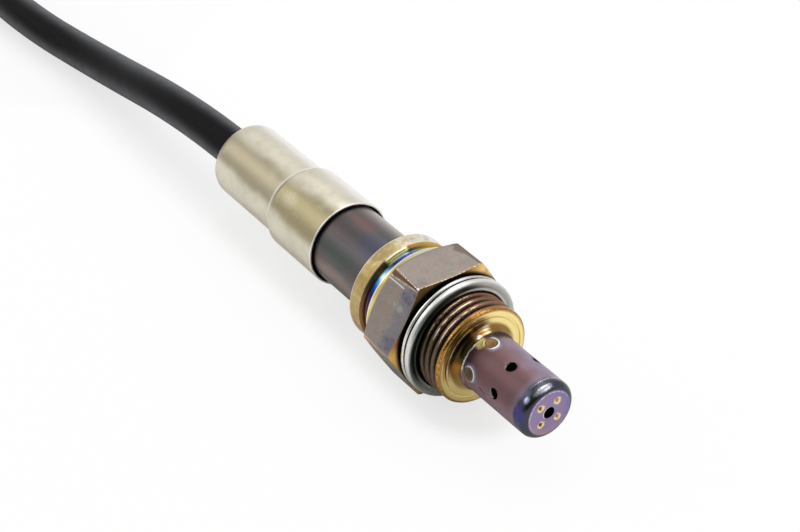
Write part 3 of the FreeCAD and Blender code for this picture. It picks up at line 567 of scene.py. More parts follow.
CABLE_FLOOR = -7.25  # height of the cable's middle where it lies
STRAND = 3.75  # half the distance of two strands side by side
SWEEP = 37.0  # radius of the bends from the waist to the loops
LOOP = 22.5  # radius of the end loops
WAIST = 6.0  # straight half under the tie
LOOP_TURN = math.acos(1 - (LOOP - STRAND) / (LOOP + SWEEP))
LOOP_REACH = (LOOP + SWEEP) * math.sin(LOOP_TURN)
HANK_X = (HANK_BOX[0].x + HANK_BOX[1].x) / 2 / MM
HANK_LOOP_X = WAIST + LOOP_REACH
CABLE_ROUTE = [
    (-67.8, 0.0, 0.0),
    (-86.0, 0.0, 0.0),
    (-125.0, -0.8, -6.3),
    (-151.0, -STRAND, CABLE_FLOOR),
    (-176.5, -STRAND, CABLE_FLOOR),
]
# heights of the upper pass over the lower one
HANK_CLIMB = (0.2, 2.2, 5.0, 7.2, 8.0, 8.0, 6.0, 4.0, 2.6, 2.4, 3.2, 5.0, 6.2, 6.8)
# distance behind the hank's middle, and height
CABLE_TAIL = ((6.0, 6.5), (24.0, 5.5), (46.0, 5.8), (64.0, 7.6), (78.0, 7.5))


def hank_pass(end, side, lifts):
    """Points from the waist round one end loop and back: end is 1 near the sensor or -1, side is the
    side of the strand that goes in, and lifts are the heights above the floor along the pass."""
    sweep_turns = [LOOP_TURN * share for share in (0.0, 0.35, 0.7)]
    loop_from = math.pi / 2 + LOOP_TURN
    loop_turns = [loop_from * share for share in (0.85, 0.62, 0.38, 0.13, -0.13, -0.38, -0.62, -0.85)]

    def strand(turn, across):
        return WAIST + SWEEP * math.sin(turn), across * (STRAND + SWEEP * (1 - math.cos(turn)))

    places = [strand(turn, side) for turn in sweep_turns]
    places += [(HANK_LOOP_X + LOOP * math.cos(turn), side * LOOP * math.sin(turn)) for turn in loop_turns]
    places += [strand(turn, -side) for turn in reversed(sweep_turns)]
    return [(HANK_X + end * x, y, CABLE_FLOOR + lift) for (x, y), lift in zip(places, lifts, strict=True)]


def cable_points():
    """The whole centreline: the free stretch, the hank's two loops, and the tail on top of them."""
    points = list(CABLE_ROUTE)
    points.append((HANK_X + HANK_LOOP_X, -STRAND - 0.5, CABLE_FLOOR))
    points += hank_pass(-1, -1, [0.0] * len(HANK_CLIMB))
    points += hank_pass(1, 1, HANK_CLIMB)
    points += [(HANK_X - behind, 0.0, CABLE_FLOOR + lift) for behind, lift in CABLE_TAIL]
    points.append((BOOT_BOX[1].x / MM, 0.0, CABLE_FLOOR + CABLE_TAIL[-1][1]))
    return points


def cable_finish():
    """Satin black jacket with dust clouds, a painted sheen at its outlines and faint lengthwise creases."""
    f = Finish("cable_jacket", roughness=0.5)
    fine = f.noise(2.2, 4.0)
    creases = f.noise(1.0, 3.0, f.stretched(0.16, 1.3, 1.3))
    dust_and_sheen = f.noise(0.35, 3.0)
    base = f.mix(dust_and_sheen.step(0.45, 0.75) * 0.4, shade("cable_black", 0.3), shade("cable_black", 1.0))
    facing = Wire(f.tree, f.node("ShaderNodeLayerWeight", {}, {"Blend": 0.5}).outputs["Facing"])
    # painted sheen: lighter where the surface turns from the view, broken up by the dust noise
    base = f.mix(facing.step(0.4, 0.72) * (0.4 + dust_and_sheen * 0.6), base, screen(104, 105, 109))
    relief = creases * 0.75 + fine * 0.25
    f.shader.inputs["Specular IOR Level"].default_value = 0.1
    return f.done(Base_Color=base, Roughness=0.42 + fine * 0.16, Normal=f.bump(relief, 0.11))


class SENSOR_OT_cable(bpy.types.Operator):
    """Lays the cable from the sleeve to its tied hank and on to the plug"""

    bl_idname = "sensor.cable"
    bl_label = "Cable"

    def execute(self, context):
        points = cable_points()
        curve = bpy.data.curves.new("cable", "CURVE")
        curve.dimensions = "3D"
        curve.bevel_depth = mm("cable_diameter") / 2 * MM
        curve.bevel_resolution = 12
        curve.resolution_u = 12
        curve.use_fill_caps = True
        spline = curve.splines.new("NURBS")
        spline.points.add(len(points) - 1)
        for point, place in zip(spline.points, points):
            point.co = (*[c * MM for c in place], 1.0)
        spline.order_u = 3
        spline.use_endpoint_u = True
        curve.materials.append(cable_finish())
        cable = bpy.data.objects.new("cable", curve)
        context.scene.collection.objects.link(cable)
        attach(cable, "root")
        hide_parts("cable_run", "cable_hank", "cable_tail")
        return {"FINISHED"}


# Perforated cap over the tip

CAP_STEPS = 240
WELD_X = 8.5
WELD_SIZE = 0.98  # radius of its hollow
WELD_DEPTH = 0.11
WELD_RING = 1.28  # radius of the raised ring round it
WELD_RISE = 0.085
WELD_COUNT = 5
WELD_FIRST = -9.0  # degrees
HOLE_X = 14.8
HOLE_COUNT = 6
HOLE_FIRST = -19.0  # degrees
END_MARK_COUNT = 4
END_MARK_FIRST = 42.0  # degrees
END_MARK_RADIUS = 2.35
END_MARK_SIZE = 0.62
END_MARK_RISE = 0.045
HOLE_REGION = 2.2  # half the length of the stretch with the holes
SCRATCH_FROM = (11.3, -88.5)  # x and degrees
SCRATCH_TO = (12.85, -96.5)


def cap_rows():
    """Stations of the cap's outside, close together where there are welds, holes and dimples."""
    rear = PROTECTOR_BOX[0].x / MM
    tip = PROTECTOR_BOX[1].x / MM
    outside = mm("protector_diameter") / 2
    rim = PROTECTOR_BOX[1].z / MM
    corner = mm("protector_corner")
    rows = [
        (rear, rim - 0.16),
        (rear + 0.05, rim - 0.05),
        (rear + 0.16, rim),
        (rear + 0.36, rim),
        (rear + 0.48, rim - 0.05),
        (rear + 0.62, outside + 0.04),
        (rear + 0.75, outside),
    ]
    x = rear + 0.85
    while x < tip - corner:
        rows.append((x, outside))
        near_weld = abs(x - WELD_X) < 1.9
        near_hole = abs(x - HOLE_X) < 1.35
        x += 0.13 if near_weld or near_hole else 0.4
    middle = tip - corner
    for k in range(11):
        a = k / 10 * math.pi / 2
        rows.append((middle + corner * math.sin(a), outside - corner * (1 - math.cos(a))))
    radius = outside - corner - 0.12
    while radius > mm("end_hole") / 2 + 0.06:
        rows.append((tip, radius))
        radius -= 0.12
    rows.append((tip, mm("end_hole") / 2))
    return rows


def cap_relief(x, angle):
    """How far the weld marks and the holes' drawn-in edges lift or sink the surface."""
    outside = mm("protector_diameter") / 2
    from_weld = math.hypot(folded(angle, WELD_COUNT, WELD_FIRST) * outside, x - WELD_X)
    lift = WELD_RISE * math.exp(-(((from_weld - WELD_RING) / 0.26) ** 2))
    lift -= WELD_DEPTH * hump(from_weld, WELD_SIZE)
    from_hole = math.hypot(folded(angle, HOLE_COUNT, HOLE_FIRST) * outside, x - HOLE_X)
    lift -= 0.07 * hump(max(0.0, from_hole - mm("side_hole") / 2), 0.28)
    return lift


def end_relief(radius, angle):
    """How far the dimples of the end face and their rims sink or lift it."""
    sideways = folded(angle, END_MARK_COUNT, END_MARK_FIRST) * radius
    from_mark = math.hypot(sideways, radius - END_MARK_RADIUS)
    rise = END_MARK_RISE * math.exp(-(((from_mark - 0.72) / 0.12) ** 2))
    return rise - 0.2 * hump(from_mark, END_MARK_SIZE)


def pierced(bm, outside):
    """Opens the side holes: vertices near each rim are drawn onto it, and the faces inside go."""
    size = mm("side_hole") / 2
    reach = 0.075
    inside = []
    for v in bm.verts:
        x = v.co.x / MM
        if abs(x - HOLE_X) > size + 0.2:
            continue
        angle = math.atan2(v.co.y, v.co.z)
        offset = folded(angle, HOLE_COUNT, HOLE_FIRST)
        far = Vector((x - HOLE_X, offset * outside))
        if abs(far.length - size) < reach and far.length > 0:
            far = far.normalized() * size
            radius = math.hypot(v.co.y, v.co.z)
            rim_angle = angle - offset + far.y / outside
            v.co.x = (HOLE_X + far.x) * MM
            v.co.y = radius * math.sin(rim_angle)
            v.co.z = radius * math.cos(rim_angle)
    for face in bm.faces:
        middle = face.calc_center_median()
        off_x = middle.x / MM - HOLE_X
        offset = folded(math.atan2(middle.y, middle.z), HOLE_COUNT, HOLE_FIRST)
        if math.hypot(off_x, offset * outside) < size - 0.01:
            inside.append(face)
    bmesh.ops.delete(bm, geom=inside, context="FACES")


def cap_tints(f, cloud, fine, dots):
    """Colours along the cap and round it, painted reflections along its sides, and painted glints at its
    edges.
    """
    rear = PROTECTOR_BOX[0].x / MM
    tip = PROTECTOR_BOX[1].x / MM
    along = (f.x - rear) / (tip - rear) + (cloud - 0.5) * 0.1
    base = f.ramp(
        along,
        [
            (0.0, shade("tint_brown", 0.35)),
            (0.07, shade("tint_brown", 0.45)),
            (0.15, shade("tint_brown", 0.85)),
            (0.30, shade("tint_brown", 1.06)),
            (0.76, shade("tint_brown", 1.02)),
            (0.83, shade("lavender_tint_and_reflection", 0.62)),
            (0.87, shade("dark_steel", 0.74)),
        ],
    )
    # painted reflection: lighter lavender along the upper side, over the tint
    upper = (turned(f, 42.0) + (cloud - 0.5) * 40).band(0.0, 62.0) * (0.8 + cloud * 0.7)
    past_rear = (f.x + (cloud - 0.5) * 2.0).step(rear + 0.8, rear + 2.4)
    base = f.mix(upper * f.x.step(21.4, 20.4) * past_rear, base, shade("lavender_tint_and_reflection", 1.2))
    # painted reflection: lighter along the lower edge
    lower_edge = turned(f, -106.0).band(0.0, 36.0) * f.x.step(20.8, 19.6)
    base = f.mix(lower_edge * 0.8, base, screen(160, 134, 144))
    indigo = off_place(f, 21.0, -80.0, 1.4, 30.0) + (cloud - 0.5) * 0.8 + (dots - 0.5) * 0.5
    tone = f.mix(fine.step(0.4, 0.6), screen(58, 56, 96), screen(78, 76, 138))
    base = f.mix(indigo.step(1.0, 0.45), base, tone)
    # painted glints on the rounded end
    base = stains_and_glints(f, base, [(21.5, -47.0, 0.6, 9.0, 0.85, (206, 218, 246))], (dots - 0.5) * 0.6, 1.0, 0.3)
    base = stains_and_glints(f, base, [(22.0, -12.0, 0.5, 26.0, 0.8, (226, 228, 234))], (dots - 0.5) * 0.7, 1.0, 0.4)
    # painted highlight: a broken bright line round the top before the rounded end
    broken = off_place(f, 20.6, 10.0, 0.16, 44.0).step(1.0, 0.5) * dots.step(0.46, 0.54)
    base = f.mix(broken * 0.8, base, screen(222, 220, 222))
    # painted highlight: a broken bright line on the rear rim
    lit = dots.step(0.42, 0.5) * turned(f, -56.0).band(0.0, 44.0).step(0.0, 0.5)
    base = f.mix(f.x.step(rear + 0.5, rear + 0.4) * lit, base, screen(255, 252, 240))
    return base, along


def weld_colour(f, base, dots, outside):
    """Weld marks: pale rings round dull hearts, straw coloured beside the first one."""
    first_weld = turned(f, WELD_FIRST).band(0.0, 40.0).step(0.0, 0.3)
    beside = off_place(f, WELD_X - 1.1, WELD_FIRST - 13.0, 1.1, 14.0) + (dots - 0.5) * 0.8
    base = f.mix(beside.step(1.0, 0.5) * 0.8, base, screen(232, 210, 140))
    sideways = folded(f.angle, WELD_COUNT, WELD_FIRST) * outside
    from_x = f.x - WELD_X
    from_weld = (sideways * sideways + from_x * from_x).root() + (dots - 0.5) * 0.22
    lower = (from_x + sideways).step(-0.9, 0.9)
    base = f.mix(from_weld.step(2.1, 1.5) * lower * 0.7, base, screen(136, 140, 176))
    base = f.mix(from_weld.band(1.3, 0.2) * (lower * 0.9 + 0.1), base, screen(240, 236, 230))
    mark = f.mix(first_weld, screen(116, 110, 88), screen(132, 112, 70))
    heart = f.mix(first_weld, screen(104, 80, 64), screen(132, 92, 70))
    base = f.mix(from_weld.step(1.14, 1.02), base, mark)
    base = f.mix(from_weld.step(0.80, 0.62), base, heart)
    return f.mix(from_weld.band(0.92, 0.09) * 0.85, base, screen(44, 34, 26))


def end_colour(f, cloud, dots):
    """Violet end face with a pinkish rim on one side, painted glints at its outer edge, pale gold round its
    dimples.
    """
    pink = f.radius.step(2.6, 3.9) * turned(f, -150.0).band(0.0, 110.0)
    blue = f.radius.step(2.8, 3.9) * turned(f, 70.0).band(0.0, 90.0)
    base = f.mix(cloud.step(0.4, 0.7) * 0.5, tint("end_violet"), screen(142, 120, 156))
    base = f.mix(pink * 0.8, base, screen(168, 134, 146))
    base = f.mix(blue * 0.7, base, screen(120, 118, 164))
    # painted glints: white dots along the outer edge of the end face, on one side
    worn = f.radius.band(3.88, 0.16) * turned(f, -30.0).band(0.0, 130.0) * dots.step(0.44, 0.52)
    base = f.mix(worn, base, screen(250, 248, 252))
    sideways = folded(f.angle, END_MARK_COUNT, END_MARK_FIRST) * f.radius
    off = f.radius - END_MARK_RADIUS
    from_mark = (sideways * sideways + off * off).root() + (dots - 0.5) * 0.5
    base = f.mix(from_mark.step(0.84, 0.6), base, screen(226, 190, 128))
    base = f.mix(from_mark.band(0.5, 0.16) * 0.7, base, screen(252, 240, 204))
    base = f.mix(from_mark.step(0.36, 0.2) * f.y.step(0.4, -0.4), base, screen(50, 36, 32))
    rim = f.radius.band(mm("end_hole") / 2 + 0.1, 0.16) * turned(f, -70.0).band(0.0, 90.0)
    return f.mix(rim, base, screen(236, 232, 234))


def cap_finish():
    """Heat-tinted cap: brown and lavender, dark before its rounded end, gold at its dimples, painted shade in
    its holes.
    """
    f = Finish("heat_tinted_cap")
    tip = PROTECTOR_BOX[1].x / MM
    outside = mm("protector_diameter") / 2
    cloud = f.noise(0.22, 3.0)
    fine = f.noise(5.0, 4.0)
    dots = f.noise(4.5, 2.0)
    base, along = cap_tints(f, cloud, fine, dots)
    base = weld_colour(f, base, dots, outside)
    # painted shade and glint: the hole walls made dark, white on one side, and less metallic there
    near_holes = abs(f.x - HOLE_X).step(HOLE_REGION, HOLE_REGION - 0.2)
    wall = f.radius.step(outside - 0.06, outside - 0.14) * near_holes
    sideways = folded(f.angle, HOLE_COUNT, HOLE_FIRST) * outside
    facing = (sideways * 0.5 + f.x - HOLE_X).step(-0.5, -0.9)
    base = f.mix(wall, base, f.mix(facing, screen(40, 34, 34), screen(255, 255, 255)))
    end = f.x.step(tip - 0.3, tip - 0.1) * f.radius.step(4.2, 4.1)
    base = f.mix(end, base, end_colour(f, cloud, dots))
    streak = scratch(f, SCRATCH_FROM, SCRATCH_TO, outside, 0.16)
    base = f.mix(streak, base, screen(20, 14, 20))
    rough = 0.36 + fine * 0.12 + cloud * 0.1 - along.step(0.83, 0.88) * 0.22
    relief = fine * 0.5 + f.noise(1.2, 3.0, f.wrapped(6.0, 1.0)) * 0.5 - streak * 1.2
    metal = 1 - wall * facing
    return f.done(Base_Color=base, Metallic=metal, Roughness=rough, Normal=f.bump(relief, 0.02))


class SENSOR_OT_cap(bpy.types.Operator):
    """Makes the perforated cap over the tip, with its weld marks and end dimples"""

    bl_idname = "sensor.cap"
    bl_label = "Perforated cap"

    def execute(self, context):
        outside = mm("protector_diameter") / 2
        tip = PROTECTOR_BOX[1].x / MM
        bm = lathe(cap_rows(), CAP_STEPS, closed=False)
        for v in bm.verts:
            x, y, z = v.co / MM
            angle = math.atan2(y, z)
            radius = math.hypot(y, z)
            if x > tip - 0.01 and radius < outside - mm("protector_corner"):
                v.co.x = (tip - END_MARK_RISE + end_relief(radius, angle)) * MM
            elif x > rear_of_marks():
                radius += cap_relief(x, angle)
                v.co.y = radius * math.sin(angle) * MM
                v.co.z = radius * math.cos(angle) * MM
        pierced(bm, outside)
        bmesh.ops.recalc_face_normals(bm, faces=bm.faces)
        outward = [face for face in bm.faces if face.calc_center_median().x > (tip - 0.3) * MM]
        if outward and outward[0].normal.x < 0:
            bmesh.ops.reverse_faces(bm, faces=bm.faces)
        bmesh.ops.solidify(bm, geom=bm.faces, thickness=mm("protector_wall") * MM)
        bmesh.ops.recalc_face_normals(bm, faces=bm.faces)
        finished(bm, "perforated_cap", cap_finish(), ["outer_protector"])
        return {"FINISHED"}


def rear_of_marks():
    """The station in front of which the cap's surface is lifted or sunk by its marks."""
    return PROTECTOR_BOX[0].x / MM + 0.62


# Threaded body with its hexagon

SHELL_STEPS = 360
SHELL_BORE = 3.65  # radius at the nose
NOSE_BORE_X = 4.2  # where the bore widens
NECK_RADIUS = 5.15
NECK_STEP_X = 6.6  # where the neck steps down to fit into the cap
FACE_GROOVE_RADIUS = 7.55
FACE_GROOVE_DEPTH = 0.2
THREAD_DEPTH = 0.7
THREAD_ROW = 0.05  # distance of the thread's rows
THREAD_CREST_X = 0.15  # station of a crest at the top
RELIEF_RADIUS = 8.2  # undercut between thread and hexagon
CHAMFER_CIRCLE = 10.35  # radius where both chamfers start
FRONT_CHAMFER = 0.255  # its length for each mm of radius
REAR_CHAMFER = 0.596  # the same for the rear one
EDGE_WEAR = 0.1  # width of the worn line at an edge
EDGE_ROUNDING = 0.035  # how much an edge is worn down
CORNER_SHIFT = -1.8  # degrees by which the corner bands lie beside the corners
# x, degrees, reach along the axis, reach in degrees, strength
BLUE_PATCHES = (
    (-4.7, -41.0, 2.4, 8.0, 0.85),
    (-4.6, -81.0, 2.2, 8.0, 0.7),
    (-4.4, -25.0, 1.8, 6.0, 0.35),
)
TUBE_SEAT_X = -13.0  # bottom of the recess for the tube
TUBE_SEAT_RADIUS = 5.4


def hex_radius(angle):
    """Distance from the axis to the hexagon at an angle, round its worn corners."""
    half = mm("hex_across_flats") / 2
    corner = mm("hex_corner")
    turn = abs(folded(angle, 6, 0.0))
    tangent = math.atan((half - corner) * math.tan(math.pi / 6) / half)
    if turn <= tangent:
        return half / math.cos(turn)
    centre = (half - corner) / math.cos(math.pi / 6)
    off = math.pi / 6 - turn
    return centre * math.cos(off) + math.sqrt(corner**2 - (centre * math.sin(off)) ** 2)


def hex_ends():
    """Stations of the hexagon's front and rear planes."""
    front = -mm("gasket_thickness") - mm("gasket_play")
    return front, front - mm("hex_length")


def chamfer_edges(radius):
    """Stations where the hexagon's side, at that distance from the axis, meets its two chamfers."""
    front, rear = hex_ends()
    over = radius - CHAMFER_CIRCLE
    return front - over * FRONT_CHAMFER, rear + over * REAR_CHAMFER


def hex_row(front, inset, share=None):
    """A row of the hexagon's side, at a share of the way between its chamfers or beside the front or
    rear one's edge: moved along the flat by inset, or down the chamfer where inset is below 0."""

    def place(angle):
        radius = hex_radius(angle)
        if share is not None:
            first, last = chamfer_edges(radius)
            return first + (last - first) * share, radius
        radius += min(inset, 0.0)
        first, last = chamfer_edges(radius)
        along = max(inset, 0.0)
        x = first - along if front else last + along
        return x, radius - (EDGE_ROUNDING if inset == 0 else 0.0)

    return place


def thread_row(x):
    """A row of the thread: worn crests, steep flanks and a rounded root, running out at its front."""
    crest = mm("thread_diameter") / 2
    pitch = mm("thread_pitch")

    def place(angle):
        phase = ((x - THREAD_CREST_X) / pitch + angle / TURN + 0.5) % 1.0
        height = min(1.0, max(0.0, 1.0 - (abs(phase - 0.5) * 2 - 0.3) / 0.56))
        height = height * height * (3 - 2 * height)
        front = min(1.0, max(0.0, (mm("thread_end") - 0.45 - x) / 0.4))
        depth = THREAD_DEPTH * (1 - height) * front
        wear = 0.02 * math.sin(9 * angle) * math.sin(5 * angle + 3 * x) * height
        return x, crest - 0.05 - depth - abs(wear)

    return place


def shell_outline():
    """The rows of the shell from the bore at its nose, over the outside, and back along the bore."""
    front_x, rear_x = hex_ends()
    groove = mm("groove_diameter") / 2
    collar = mm("collar_diameter") / 2
    washer = mm("washer_diameter") / 2
    seat = mm("tube_diameter") / 2 + 0.05
    washer_x = rear_x - mm("washer_length")
    collar_x = washer_x - mm("groove_length")
    end_x = SHELL_BOX[0].x / MM
    nose_x = SHELL_BOX[1].x / MM
    nose = NECK_RADIUS - 0.4
    face_x = mm("thread_end") + 0.35
    ring_in = FACE_GROOVE_RADIUS - 0.25
    ring_out = FACE_GROOVE_RADIUS + 0.25
    ring_x = face_x - FACE_GROOVE_DEPTH
    rows = rounded(
        [
            (nose_x, SHELL_BORE),
            (nose_x, nose, 0.3),
            (NECK_STEP_X, nose),
            (NECK_STEP_X, NECK_RADIUS),
            (face_x, NECK_RADIUS, 1.2),
            (face_x, ring_in - 0.05),
        ],
        8,
    )
    ring = [(ring_x, ring_in + 0.06, 0.06), (ring_x, ring_out - 0.06, 0.06)]
    rows += rounded([(face_x, ring_in), *ring, (face_x, ring_out)], 3)
    rows += [(face_x, ring_out + 0.06), (face_x, 8.3), (face_x - 0.02, 8.5)]
    rows += [(face_x - 0.1, 8.68), (face_x - 0.25, 8.84)]
    count = round((mm("thread_end") + 0.2) / THREAD_ROW)
    rows += [thread_row(mm("thread_end") - k * THREAD_ROW) for k in range(count + 1)]
    rows += [(-0.5, RELIEF_RADIUS + 0.05), (-0.9, RELIEF_RADIUS), (front_x, RELIEF_RADIUS)]
    rows += [(front_x, 9.2), (front_x, CHAMFER_CIRCLE - 0.06), (front_x - 0.01, CHAMFER_CIRCLE + 0.03)]
    rows += [hex_row(True, inset) for inset in (-EDGE_WEAR, 0.0, EDGE_WEAR, 4 * EDGE_WEAR)]
    rows += [hex_row(True, None, share) for share in (0.15, 0.3, 0.5, 0.7, 0.85)]
    rows += [hex_row(False, inset) for inset in (4 * EDGE_WEAR, EDGE_WEAR, 0.0)]
    rows += rounded(
        [
            (rear_x + (washer - CHAMFER_CIRCLE) * REAR_CHAMFER + 0.02, washer + 0.03),
            (rear_x, washer),
            (washer_x, washer, 0.25),
            (washer_x, groove, 0.8),
            (collar_x, groove, 0.27),
            (collar_x, collar, 0.65),
            (end_x, collar, 0.2),
            (end_x, seat, 0.08),
            (TUBE_SEAT_X, seat),
        ],
        8,
    )
    rows += [(TUBE_SEAT_X, TUBE_SEAT_RADIUS), (NOSE_BORE_X, TUBE_SEAT_RADIUS), (NOSE_BORE_X, SHELL_BORE)]
    return rows


def flats_colour(f, patch, cloud):
    """Flats of the hexagon: mauve grey with olive clouds, blue patches near the front, worn corners with
    painted glints.
    """
    mottle = f.noise(0.9, 5.0, roughness=0.72)
    spots = f.noise(1.7, 5.0, roughness=0.7)
    ragged = (patch - 0.5) * 1.2 + (mottle - 0.5) * 3.4
    base = f.mix(patch.step(0.42, 0.72) * 0.7, tint("hex_mauve"), shade("hex_mauve", 0.84))
    base = f.mix(cloud.step(0.46, 0.7) * 0.3, base, screen(152, 136, 114))
    base = f.mix(mottle.step(0.5, 0.64) * 0.6, base, screen(156, 128, 124))
    base = f.mix(mottle.step(0.48, 0.36) * 0.6, base, screen(130, 134, 132))
    base = f.mix(spots.step(0.56, 0.7) * 0.5, base, screen(174, 166, 160))
    left = turned(f, -60.0).band(0.0, 34.0).step(0.0, 0.1)
    base = f.mix((f.x + ragged * 1.5).step(-7.4, -4.4) * left * 0.65, base, screen(122, 120, 130))
    tone = f.mix(spots.step(0.45, 0.6), screen(96, 90, 100), tint("hex_violet"))
    for *place, strength in BLUE_PATCHES:
        patch_at = off_place(f, *place) + ragged * 1.3
        base = f.mix(patch_at.step(1.1, 0.0) * strength, base, tone)
    base = stains_and_glints(f, base, [(-5.8, -52.0, 2.4, 4.5, 0.6, (164, 172, 160))], ragged, 1.0, 0.3)
    base = stains_and_glints(f, base, [(-8.8, 27.0, 1.9, 4.5, 0.7, (104, 86, 74))], ragged * 0.6, 1.0, 0.5)
    corner = turned(f, 0.0) % 60 - 30 - CORNER_SHIFT
    share = abs(corner) / (f.x * -0.28 - 0.2)
    stripes = f.noise(1.0, 2.0, f.wrapped(0.05, 70.0))
    brown = around(
        f,
        [
            (-100, 206, 154, 88),
            (-70, 94, 74, 50),
            (0, 94, 74, 50),
            (22, 122, 112, 106),
        ],
    )
    pale = screen(134, 108, 88)
    band = f.mix(stripes.step(0.45, 0.6) * turned(f, -30.0).band(0.0, 20.0).step(0.0, 0.2) * 0.7, brown, pale)
    base = f.mix((share + (mottle - 0.5) * 0.8).step(1.12, 0.86), base, band)
    # bright dots at the borders of the corner bands: worn metal with painted glints
    dots = f.noise(4.4, 2.0).step(0.46, 0.58)
    near = turned(f, -44.0).step(58.0, 44.0)
    base = f.mix(share.band(1.02, 0.4) * near * (dots * 0.8 + 0.2), base, screen(250, 226, 204))
    edge = f.attribute("edge")
    upper = turned(f, 0.0).band(0.0, 33.0).step(0.0, 0.06)
    rim = f.mix(upper, screen(150, 138, 120), screen(150, 108, 68))
    base = f.mix((edge + (mottle - 0.5) * 0.9).step(0.5, 0.85) * 0.7, base, rim)
    # bright dots on the edges, mostly on the top side: worn metal with painted highlights
    base = f.mix(edge.step(0.8, 0.96) * dots * (upper * 0.85 + 0.15), base, screen(255, 240, 220))
    # painted glint at the front of one corner
    vertex = off_place(f, -3.6, -30.6, 0.5, 1.3).step(1.0, 0.4)
    base = f.mix(vertex * 0.9, base, screen(255, 246, 232))
    mark = scratch(f, (-10.7, -36.9), (-6.4, -36.9), 11.9, 0.12)
    return f.mix(mark * 0.9, base, screen(240, 240, 236))


def chamfer_colour(f, patch):
    """Front chamfer: black next to the gasket as painted shade and dark reflection, brown and gold towards
    the corners.
    """
    corner = around(
        f,
        [
            (-150, tint("gold")),
            (-92, 240, 196, 112),
            (-80, 170, 120, 62),
            (-50, 104, 84, 48),
            (-6, 112, 88, 48),
            (18, 176, 130, 72),
            (32, 244, 206, 138),
            (90, tint("gold")),
        ],
    )
    corner = f.mix(patch.step(0.5, 0.75) * 0.3, corner, tint("old_gold"))
    # painted shade and dark reflection: black next to the gasket
    return f.mix(f.radius.step(10.75, 11.5), screen(20, 16, 13), corner)


def groove_colour(f):
    """Groove behind the hexagon: violet, blue and silver heat tints round it, with painted reflection bands
    and highlight.
    """
    return around(
        f,
        [
            (-140, 150, 120, 60),
            (-95, 120, 84, 90),
            (-76, 84, 60, 130),
            (-64, 30, 40, 150),
            (-55, 26, 104, 230),
            (-47, 80, 180, 250),
            # painted highlight, cyan white
            (-41, 236, 252, 255),
            (-36, 140, 196, 226),
            (-30, 74, 120, 160),
            (-23, 26, 50, 124),
            (-8, 28, 80, 176),
            (4, 60, 136, 212),
            (16, 130, 184, 220),
            (28, 204, 214, 214),
            (60, 226, 196, 120),
            (150, 70, 96, 170),
        ],
    )


def shoulder_colour(f):
    """The collar's rounded front, in painted reflections: brown to black, a yellow highlight at the top,
    golden brown on the far side.
    """
    base = around(
        f,
        [
            (-150, 150, 104, 50),
            (-92, 140, 98, 56),
            (-72, 110, 78, 46),
            (-48, 78, 68, 40),
            (-29, 72, 58, 26),
            # painted yellow highlight
            (-26, 255, 250, 150),
            (-4, 255, 255, 176),
            (-1, 122, 92, 38),
            (8, 176, 130, 56),
            (24, 206, 170, 84),
            (60, 180, 136, 62),
        ],
    )
    # painted highlight: a pale outer edge and a dark line in the yellow sector
    highlight_sector = turned(f, -15.0).band(0.0, 14.0).step(0.0, 0.2)
    base = f.mix(f.radius.step(9.8, 9.9) * highlight_sector, base, screen(255, 250, 214))
    line = f.radius.band(9.76, 0.11) * highlight_sector
    return f.mix(line, base, screen(64, 46, 20))


def collar_colour(f, cloud):
    """Satin gold collar, with painted reflection nearly white on its far side, faint streaks and a pale rear
    edge.
    """
    streaks = f.noise(1.0, 2.0, f.wrapped(0.12, 5.0))
    # painted reflection: darker towards the view, nearly white on the far side
    base = around(
        f,
        [
            (-150, tint("collar_gold")),
            (-60, shade("collar_gold", 0.82)),
            (-34, shade("collar_gold", 0.62)),
            (-14, 186, 168, 124),
            (4, 226, 216, 190),
            (36, 252, 250, 244),
            (100, tint("collar_gold")),
        ],
    )
    base = f.mix(cloud.step(0.3, 0.7) * 0.3, base, shade("collar_gold", 0.7))
    worn = f.noise(0.8, 5.0, roughness=0.7)
    base = f.mix(worn.step(0.48, 0.62) * 0.45, base, screen(158, 136, 84))
    base = f.mix(worn.step(0.46, 0.36) * 0.3, base, screen(240, 226, 190))
    base = f.mix(streaks.step(0.5, 0.75) * 0.35, base, screen(214, 198, 160))
    return f.mix(f.x.step(-18.0, -18.25) * 0.7, base, screen(240, 232, 214))


def washer_colour(f, washer_x):
    """Rim of the washer face: gold, paler towards the top, with a cream rear edge, a painted highlight."""
    base = around(
        f,
        [
            (-100, 216, 184, 104),
            (-66, 226, 204, 140),
            (-46, 208, 180, 100),
            (-20, 222, 202, 148),
            (10, 240, 230, 202),
            (60, 236, 220, 170),
        ],
    )
    # painted highlight: cream along the rear edge
    return f.mix(f.x.step(washer_x + 0.5, washer_x + 0.25), base, screen(252, 244, 216))


